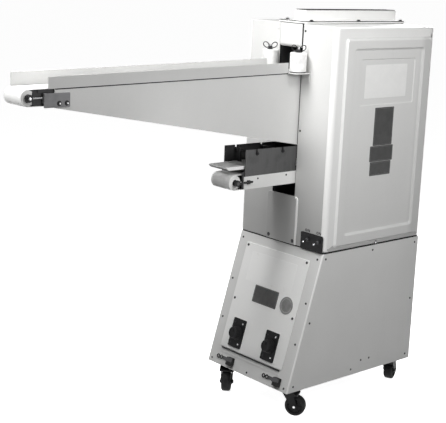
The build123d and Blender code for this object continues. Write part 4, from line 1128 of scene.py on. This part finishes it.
# ----------------------------------------------------------------------------
# switches
# ----------------------------------------------------------------------------
bm = bmesh.new()
tablet(bm, on_head(168, zb + 556), -57, 57, -33, 33, 5, 0, 5.0, 1.6)
for tx, tz in toggle_pos:
    m = on_head(tx, tz)
    lathe(bm, [(0, 4.8), (9.5, 4.8), (9.5, 5.6), (9.0, 6.0), (0, 6.0)], m, 32, 2)
    loft(bm, hex_rings(8.0, 5.9, 8.6), turned(m, 12), idx=2)
    prof = [(5.6, 8.2)]
    z = 8.8
    while z < 12.4:
        prof += [(5.2, z), (5.6, z + 0.35)]
        z += 0.8
    prof += [(5.2, 13.0), (4.3, 13.0), (4.2, 12.6), (4.2, 5.4)]
    lathe(bm, prof, m, 28, 1, wrap=True)
put("switch_cover", bm, ["black", "strap", "blackox"], "frame", ["switch_plate"])
t12 = math.radians(12.0)
for key, side, (tx, tz) in zip("lr", ("left", "right"), toggle_pos):
    bm = bmesh.new()
    zd = Vector((-math.cos(t12), 0, -math.sin(t12)))
    xd = Vector((0, -1, 0))
    m = axes(fx - 7.5, -tx, tz, xd, zd.cross(xd), zd)
    lathe(bm, [(0, -3), (1.9, -3), (2.2, -2.4), (2.15, 5), (2.35, 9), (2.9, 15), (3.3, 20), (3.25, 22), (2.6, 23.4), (1.4, 23.95), (0, 24)], m, 24)
    put("toggle_bat_" + side, bm, "chrome", "toggle_" + key, ["toggle_" + side])

# legends above the switches
bm = bmesh.new()
for cx in (141.5, 201.0):
    m = on_head(cx, zb + 597.5)
    outer = [(-6.8 + 5.6 * math.cos(2 * math.pi * i / 28), 5.4 * math.sin(2 * math.pi * i / 28)) for i in range(28)]
    inner = [(-6.8 + 3.0 * math.cos(2 * math.pi * i / 28), 2.8 * math.sin(2 * math.pi * i / 28)) for i in range(28)]
    loft(bm, [[(x, y, h) for x, y in c] for c, h in ((outer, -0.2), (outer, 0.22), (inner, 0.22), (inner, -0.2))], m, wrap=True)
    for q in ([(1.2, -5.4), (3.6, -5.4), (3.6, 5.4), (1.2, 5.4)], [(9.6, -5.4), (12.0, -5.4), (12.0, 5.4), (9.6, 5.4)],
              [(9.2, -5.4), (12.0, -5.4), (4.0, 5.4), (1.2, 5.4)]):
        prism(bm, q, m, -0.2, 0.22, 0.05)
put("switch_legends", bm, "mark", "frame")

# ----------------------------------------------------------------------------
# guide rollers at the dough entry
# ----------------------------------------------------------------------------
bm = bmesh.new()
for sy in (-1, 1):
    y0, y1 = (62, 108) if sy > 0 else (-108, -62)
    tablet(bm, on_top(0, 0, 0), fx - 70, fx - 0.2, y0, y1, (3, 7, 7, 3), guide_z0 - 7.4, guide_z0 - 3.6, 1.0, low=0.8)
    # black backing under the shelf, a painted shade for the shadow line beneath it
    tablet(bm, on_top(0, 0, 0), fx - 68.5, fx - 0.2, y0 + 1, y1 - 1, (3, 6, 6, 3), guide_z0 - 9.6, guide_z0 - 7.2, 0.4, idx=2)
    prism(bm, [(68.5, guide_z0 - 36), (107.5, guide_z0 - 36), (107.5, guide_z0 - 5), (68.5, guide_z0 - 5)],
          on_head(0, 0) if sy < 0 else axes(fx, 0, 0, (0, 1, 0), (0, 0, 1), (-1, 0, 0)), 0.0, 3.0, 0.8)
    for yy in (78, 98):
        stamp(bm, pan, turned(on_head(-sy * yy, guide_z0 - 22, 3.0), turn()), 0)
    m = on_top(guide_x, sy * guide_y, 0)
    # black thrust washer under the roller, wide enough that it also stands in as painted shade for the dark gap
    lathe(bm, [(0, guide_z0 - 4.2), (29.0, guide_z0 - 4.2), (29.4, guide_z0 - 3.6), (29.4, guide_z0 - 1.2), (28.8, guide_z0 - 0.6), (0, guide_z0 - 0.6)], m, 48, 2)
    lathe(bm, [(0, guide_z0 - 3), (6, guide_z0 - 3), (6, guide_z1 + 1), (0, guide_z1 + 1)], m, 28, 1)
    lathe(bm, [(0, guide_z1 + 0.6), (11.5, guide_z1 + 0.6), (11.5, guide_z1 + 1.9), (11.0, guide_z1 + 2.3), (0, guide_z1 + 2.3)], m, 36, 2)
    threaded(bm, on_top(guide_x, sy * guide_y, guide_z1), 4.6, 2.0, 20.0, 1.6, 22, 1)
    # wing nut: tapered hub with two open wire loops
    lathe(bm, [(0, guide_z1 + 2.3), (8.6, guide_z1 + 2.3), (8.6, guide_z1 + 3.6), (7.6, guide_z1 + 5.0), (6.8, guide_z1 + 11.5), (6.0, guide_z1 + 12.6), (0, guide_z1 + 12.6)], m, 32, 2)
    for k in (-1, 1):
        loop = []
        for i in range(30):
            a = 2 * math.pi * i / 30
            u = 15.6 + 10.6 * math.cos(a) - 0.8 * math.sin(a)
            v = 16.5 + 3.6 * math.cos(a) + 9.6 * math.sin(a)
            loop.append((k * u * 0.80, -k * u * 0.60, guide_z1 + v))
        tube(bm, loop, 1.8, m, 10, 2, True)
put("guide_bracket_pair", bm, ["paint_head", "bright", "blackox"], "frame", ["guide_brackets"])
for side, sy in (("near", -1), ("far", 1)):
    bm = bmesh.new()
    lathe(bm, [(6.05, guide_z0 + 0.8), (9.5, guide_z0 + 0.8), (10.5, guide_z0), (28.3, guide_z0), (29.6, guide_z0 + 0.35), (30.6, guide_z0 + 1.3),
               (31.0, guide_z0 + 2.6), (31.0, guide_z1 - 2.6), (30.6, guide_z1 - 1.3), (29.6, guide_z1 - 0.35), (28.3, guide_z1),
               (16.5, guide_z1), (15.6, guide_z1 - 0.7), (6.05, guide_z1 - 0.7)], on_top(guide_x, sy * guide_y, 0), 72, wrap=True)
    put("guide_roller_body_" + side, bm, "nylon", "guide_" + side, ["guide_roller_" + side], 30.0)

# ----------------------------------------------------------------------------
# belt take-ups
# ----------------------------------------------------------------------------
bm = bmesh.new()
for sy in (-1, 1):
    m = axes(0, 0, 0, (1, 0, 0), (0, 0, 1), (0, sy, 0))
    tablet(bm, m, tab_x, fx - 1021, zb + 1111, zb + 1157, 3, 60.0, 63.0, 0.8)
    mt = axes(tab_x, 0, 0, (0, sy, 0), (0, 0, 1), (-1, 0, 0))
    tablet(bm, mt, 51.5, 61.5, zb + 1126, zb + 1157, 1.5, -3.0, 0.0, 0.7)
put("take_up_bracket_pair", bm, "bracket", "frame", ["take_up_brackets"])

bm = bmesh.new()
for sy in (-1, 1):
    # infeed: eye on the shaft end, rod through the bracket tab, two nuts
    threaded(bm, along_x(0, sy * 55.3, nose_z), 2.2, nose_x + 9.0, fx - 1106.5, 1.2, 16, 3)
    for nx in (tab_x - 5.4, tab_x + 3.1):
        loft(bm, hex_rings(4.4, nx, nx + 5.0), along_x(0, sy * 55.3, nose_z), idx=2)
    # dark cheek beside the belt, on the bed, a black plate standing in as painted shade for the dark gap at the roller
    # end
    tablet(bm, axes(0, 0, 0, (1, 0, 0), (0, 0, 1), (0, sy, 0)), fx - 1152, fx - 1102, nose_z - 24, nose_z + 22, 3, 50.6, 52.4, 0.4, idx=1)
    ms = on_side(sy, nose_x, nose_z, 0)
    lathe(bm, [(8.05, 51.2), (12.2, 51.2), (12.8, 52.0), (12.8, 57.6), (12.2, 58.4), (8.05, 58.4)], ms, 40, 1, wrap=True)
    lathe(bm, [(0, 61.0), (8.6, 61.0), (8.6, 61.9), (8.2, 62.4), (0, 62.4)], ms, 32, 1)
    loft(bm, hex_rings(4.6, 62.2, 65.4), turned(ms, 20), idx=0)
    # discharge: eye on the shaft, rod beside the rail, saddle
    threaded(bm, along_x(0, sy * 64.6, dis_z), 4.0, dis_x + 8.0, dis_x + 74.0, 1.5, 18, 4)
    md = on_side(sy, dis_x, dis_z, 0)
    lathe(bm, [(7.05, 60.4), (11.4, 60.4), (12.0, 61.1), (12.0, 67.6), (11.4, 68.3), (7.05, 68.3)], md, 40, 1, wrap=True)
    lathe(bm, [(0, 68.6), (6.2, 68.6), (6.2, 69.6), (5.6, 70.2), (0, 70.2)], md, 24, 2)
    prism(bm, [(fx - 249, dis_z - 7), (fx - 237, dis_z - 7), (fx - 237, dis_z + 7), (fx - 249, dis_z + 7)],
          axes(0, 0, 0, (1, 0, 0), (0, 0, 1), (0, sy, 0)), 60.0, 67.2, 0.8, 4)
put("take_up_rods", bm, ["bright", "blackox", "dark", "axle", "blackox"], "frame", ["take_up_screws"])

for body, x, z, ri, ro, y0, y1 in (("infeed_nose", nose_x, nose_z, 8.1, 13.0, 43.2, 48.8),
                                   ("discharge_nose", dis_x, dis_z, 7.1, 12.0, 44.2, 48.6)):
    bm = bmesh.new()
    for sy in (-1, 1):
        m = on_side(sy, x, z, 0)
        lathe(bm, [(ri, y0), (ro, y0), (ro, y1), (ro - 0.9, y1), (ro - 1.1, y1 - 0.5), (ri + 1.3, y1 - 0.5), (ri + 1.1, y1), (ri, y1)], m, 40, wrap=True)
        for i in range(9):
            a = 2 * math.pi * i / 9
            rm = (ri + ro) / 2
            lathe(bm, [(0, y1 - 0.6), (1.1, y1 - 0.6), (0.8, y1 - 0.1), (0, y1)], m @ Matrix.Translation(Vector((rm * math.cos(a), rm * math.sin(a), 0)) * MM), 12)
    put(body + "_bearings", bm, "blackox", body)

# ----------------------------------------------------------------------------
# hangers of the pressure board
# ----------------------------------------------------------------------------
bm = bmesh.new()
for px in (-204, -74):
    threaded(bm, on_near(fx + px, zb + 896, 0), 4.2, -67.0, 67.0, 1.6, 18)
    for sy in (-1, 1):
        m = on_side(sy, fx + px, zb + 896, 0)
        lathe(bm, [(4.0, 60.0), (7.4, 60.0), (7.4, 61.0), (7.0, 61.4), (4.0, 61.4)], m, 32, wrap=True)
        loft(bm, hex_rings(6.2, 61.2, 65.6), turned(m, 14))
        if sy < 0:
            tube(bm, [(fx + px - 3, -63.4, zb + 897), (fx + px - 3, -63.4, zb + 904), (fx + px - 3.4, -63.4, zb + 908), (fx + px - 4, -63.2, zb + 911)],
                 1.8, Matrix.Identity(4), 10, 0, False)
        mt = on_top(fx + px, sy * 34, 0)
        lathe(bm, [(0, zb + 852.5), (9.0, zb + 852.5), (9.0, zb + 854.2), (8.4, zb + 855.0), (5.0, zb + 855.6), (5.0, zb + 889), (7.6, zb + 890), (7.6, zb + 902), (6.8, zb + 903), (0, zb + 903)], mt, 28)
put("board_hanger_rods", bm, "blackox", "frame", ["board_hangers"])

# ----------------------------------------------------------------------------
# casters
# ----------------------------------------------------------------------------
for key, (cx, cy, ang) in caster_at.items():
    a = math.radians(ang)
    xd, yd, zd = (math.cos(a), math.sin(a), 0), (0, 0, 1), (math.sin(a), -math.cos(a), 0)
    leg = axes(cx, cy, 0, xd, yd, zd)
    hubm = leg @ Matrix.Translation(Vector((trail, wheel_r, 0)) * MM)
    bm = bmesh.new()
    tyre = [(27.4, -14.6), (28.6, -17.0), (31.0, -18.0), (33.6, -18.0), (36.6, -16.8), (38.7, -14.2), (39.7, -10.6), (40.0, -6.5)]
    tyre += [(r, -z) for r, z in reversed(tyre)]
    lathe(bm, tyre, hubm, 64, 0, wrap=True)
    hub = [(5.06, -17.8), (9.4, -17.8), (10.2, -17.2), (10.8, -12.8), (11.6, -12.0), (25.2, -12.0), (26.2, -12.8), (26.6, -15.0), (27.6, -15.6)]
    hub += [(r, -z) for r, z in reversed(hub)]
    lathe(bm, hub, hubm, 64, 1, wrap=True)
    for i in range(6):
        m = hubm @ Matrix.Rotation(math.radians(60 * i), 4, "Z")
        for z0, z1 in ((-15.0, -11.2), (11.2, 15.0)):
            prism(bm, [(10.4, -1.5), (26.6, -1.2), (26.6, 1.2), (10.4, 1.5)], m, z0, z1, 0.5, 1)
    put("caster_tyre_hub_" + key, bm, ["tyre", "hub"], "wheel_" + key, ["caster_wheel_" + key])

    bm = bmesh.new()
    side = hull([(-20, crown_top), (-20, crown_top - 6), (24, crown_top), (24, crown_top - 6)] + round_pts(trail, wheel_r, 11, 28))
    for h in (-23.5, 20.5):
        prism(bm, side, leg, h, h + 3.0, 0.9)
    prism(bm, hull([(-20, crown_top), (24, crown_top), (-20, crown_top - 5), (24, crown_top - 5)]), leg, -22.5, 22.5, 0.4)
    prism(bm, [(-20, crown_top - 4), (-2.5, crown_top - 32), (0.8, crown_top - 30), (-15, crown_top - 4)], leg, -21.5, 21.5, 0.5)
    hood = [(13, crown_top - 5), (13, crown_top - 22), (45, crown_top - 22), (46, crown_top - 21), (46, crown_top - 15), (45, crown_top - 13.6), (24, crown_top - 3)]
    prism(bm, hood, leg, -29, 29, 2.5)
    m = on_top(cx, cy, 0)
    lathe(bm, [(6.06, crown_top - 5), (25.5, crown_top - 5), (27.0, crown_top - 3.6), (27.0, crown_top - 1.0), (26.0, crown_top), (6.06, crown_top)], m, 44, wrap=True)
    lathe(bm, [(0, -26.5), (4.6, -26.5), (5.0, -26.0), (5.0, 26.0), (4.6, 26.5), (0, 26.5)], hubm, 24, 1)
    loft(bm, hex_rings(8.5, 23.5, 26.6), turned(hubm, 10), idx=1)
    lathe(bm, [(0, 26.4), (4.6, 26.4), (4.6, 27.4), (4.0, 28.0), (0, 28.0)], hubm, 24, 2)
    loft(bm, [[(x, y, -z) for x, y, z in ring] for ring in hex_rings(8.5, 23.5, 28.0)], turned(hubm, 35), idx=1)
    put("caster_yoke_" + key, bm, ["blackfork", "blackox", "bright"], "swivel_" + key, ["caster_fork_" + key])

# ----------------------------------------------------------------------------
# panel screws and bolts
# ----------------------------------------------------------------------------
side_xz = [(17, 501), (-50, 261), (-119, 22), (200, 23), (530, 22), (534, 262),
           (536, 499), (281, 501), (256, 51), (304, 51)]
front_xy = [(x, -s) for x in (-208, 208) for s in (23.5, 195, 355, 527)] + [(0, -528)]
bm = bmesh.new()
for sy in (-1, 1):
    for px, pz in side_xz:
        stamp(bm, pan, turned(on_side(sy, fx + px, zb + pz, base_hw), turn()))
    m = on_side(sy, fx + 292, zb + 531.5, cover_hw)
    lathe(bm, [(0, -0.2), (7.2, -0.2), (7.2, 0.5), (6.6, 1.0), (0, 1.0)], m, 32, 1)
    stamp(bm, pan_ring, turned(m @ Matrix.Translation((0, 0, 0.8 * MM)), turn()), 2)
    for px in (-194.5, -49):
        stamp(bm, pan_small, turned(on_side(sy, fx + px, zb + 802.5, 60), turn()), 1)
    for px in (-1061.5, -1033):
        stamp(bm, hexa, turned(on_side(sy, fx + px, zb + 1124, 63), turn()), 1)
        lathe(bm, [(0, 4.2), (2.6, 4.2), (2.6, 6.4), (2.2, 6.8), (0, 6.8)], on_side(sy, fx + px, zb + 1124, 63), 18, 2)
for px, py in front_xy:
    stamp(bm, pan, turned(on_slope(px, py), turn()))
for px in (-66.5, 66.5):
    lathe(bm, [(0, 3.8), (7.4, 3.8), (7.4, 4.5), (7.0, 4.9), (0, 4.9)], on_head(px, zb + 540), 32, 1)
    stamp(bm, pan_ring, turned(on_head(px, zb + 540, 4.6), turn()), 0)
for px in (-72, 72):
    for pz in (1340, 1270, 968):
        stamp(bm, pan, turned(on_head(px, zb + pz), turn()), 0 if px > 0 and pz != 1270 else 3)
for py in (-64, 64):
    for px in (36, 294, 541):
        stamp(bm, hexa_lid, turned(on_top(fx + px, py, head_top + 10.5), turn()))
for py in (-210, 0, 210):
    for pz in (25, 262, 498):
        stamp(bm, pan, turned(on_back(py, zb + pz, fx + depth), turn()))
put("panel_screw_heads", bm, ["screw", "blackox", "bright", "paint_head"], "frame", ["panel_screws"], 35.0)

# ----------------------------------------------------------------------------
# cable gland at the back
# ----------------------------------------------------------------------------
bm = bmesh.new()
m = on_back(150, zb + 110, fx + depth)
rows = [[(21 * k * math.cos(math.radians(60 * i)), 21 * k * math.sin(math.radians(60 * i)), z) for i in range(6)]
        for k, z in ((0.98, -0.2), (1.0, 0.3), (1.0, 2.6), (0.96, 3.2), (0.90, 3.5))]
loft(bm, rows, m)
lathe(bm, [(8.0, 3.4), (8.0, -17.0), (16.4, -17.0), (16.4, -2.0), (14.6, -2.0), (14.6, 3.6), (14.0, 4.0), (9.2, 4.0)], m, 40, wrap=True)
lathe(bm, [(0, -8.0), (8.1, -8.0), (8.1, -5.0), (7.0, -4.2), (0, -4.0)], m, 28, 1)
put("cable_gland", bm, ["black", "rubber"], "frame", ["power_inlet"])

# ----------------------------------------------------------------------------
# labels left blank
# ----------------------------------------------------------------------------
bm = bmesh.new()
tablet(bm, on_near(0, 0, cover_hw - 3.5), fx + 172, fx + 408, zb + 1099, zb + 1224, 4, -0.3, 0.6, 0.4)
put("cover_label_blank", bm, "film", "frame")
bm = bmesh.new()
for i, (x0, x1, z0, z1) in enumerate(((236, 344, 915.5, 1062), (222, 353, 854, 914.5), (227, 346, 799.5, 853))):
    tablet(bm, on_near(0, 0, cover_hw - 1.0), fx + x0, fx + x1, zb + z0, zb + z1, 3, -0.3, 0.7, 0.4, idx=1 if i == 1 else 0)
    loft(bm, [[(x, y, h) for x, y in rr(fx + x0 + 4 + j, fx + x1 - 4 - j, zb + z0 + 4 + j, zb + z1 - 4 - j, 2, 4, 4)]
              for j, h in ((0, 0.6), (0.1, 0.85), (0.5, 0.85), (0.6, 0.6))], on_near(0, 0, cover_hw - 1.0), idx=2, wrap=True)
put("cover_plates_blank", bm, ["foil", "foil_black", "badge"], "frame")

# ----------------------------------------------------------------------------
# dark strips as painted shade: under the guards, and where the wedge enters the head, standing in for the shadow in the
# gaps
# ----------------------------------------------------------------------------
bm = bmesh.new()
for sy in (-1, 1):
    m = axes(0, 0, 0, (1, 0, 0), (0, 0, 1), (0, sy, 0))
    x0, x1 = fx - 1075, fx - 68
    prism(bm, [(x0, guard_z(x0) - 3.4), (x1, guard_z(x1) - 3.4), (x1, guard_z(x1) + 0.2), (x0, guard_z(x0) + 0.2)], m, 59.4, 60.4, 0.15)
    mh = on_head(0, 0) if sy < 0 else axes(fx, 0, 0, (0, 1, 0), (0, 0, 1), (-1, 0, 0))
    prism(bm, [(60.4, zb + 916), (62.6, zb + 916), (62.6, zb + 1183), (60.4, zb + 1183)], mh, -4.0, 0.8, 0.3)
put("shade_strips", bm, "rubber", "frame")

bpy.context.view_layer.update()
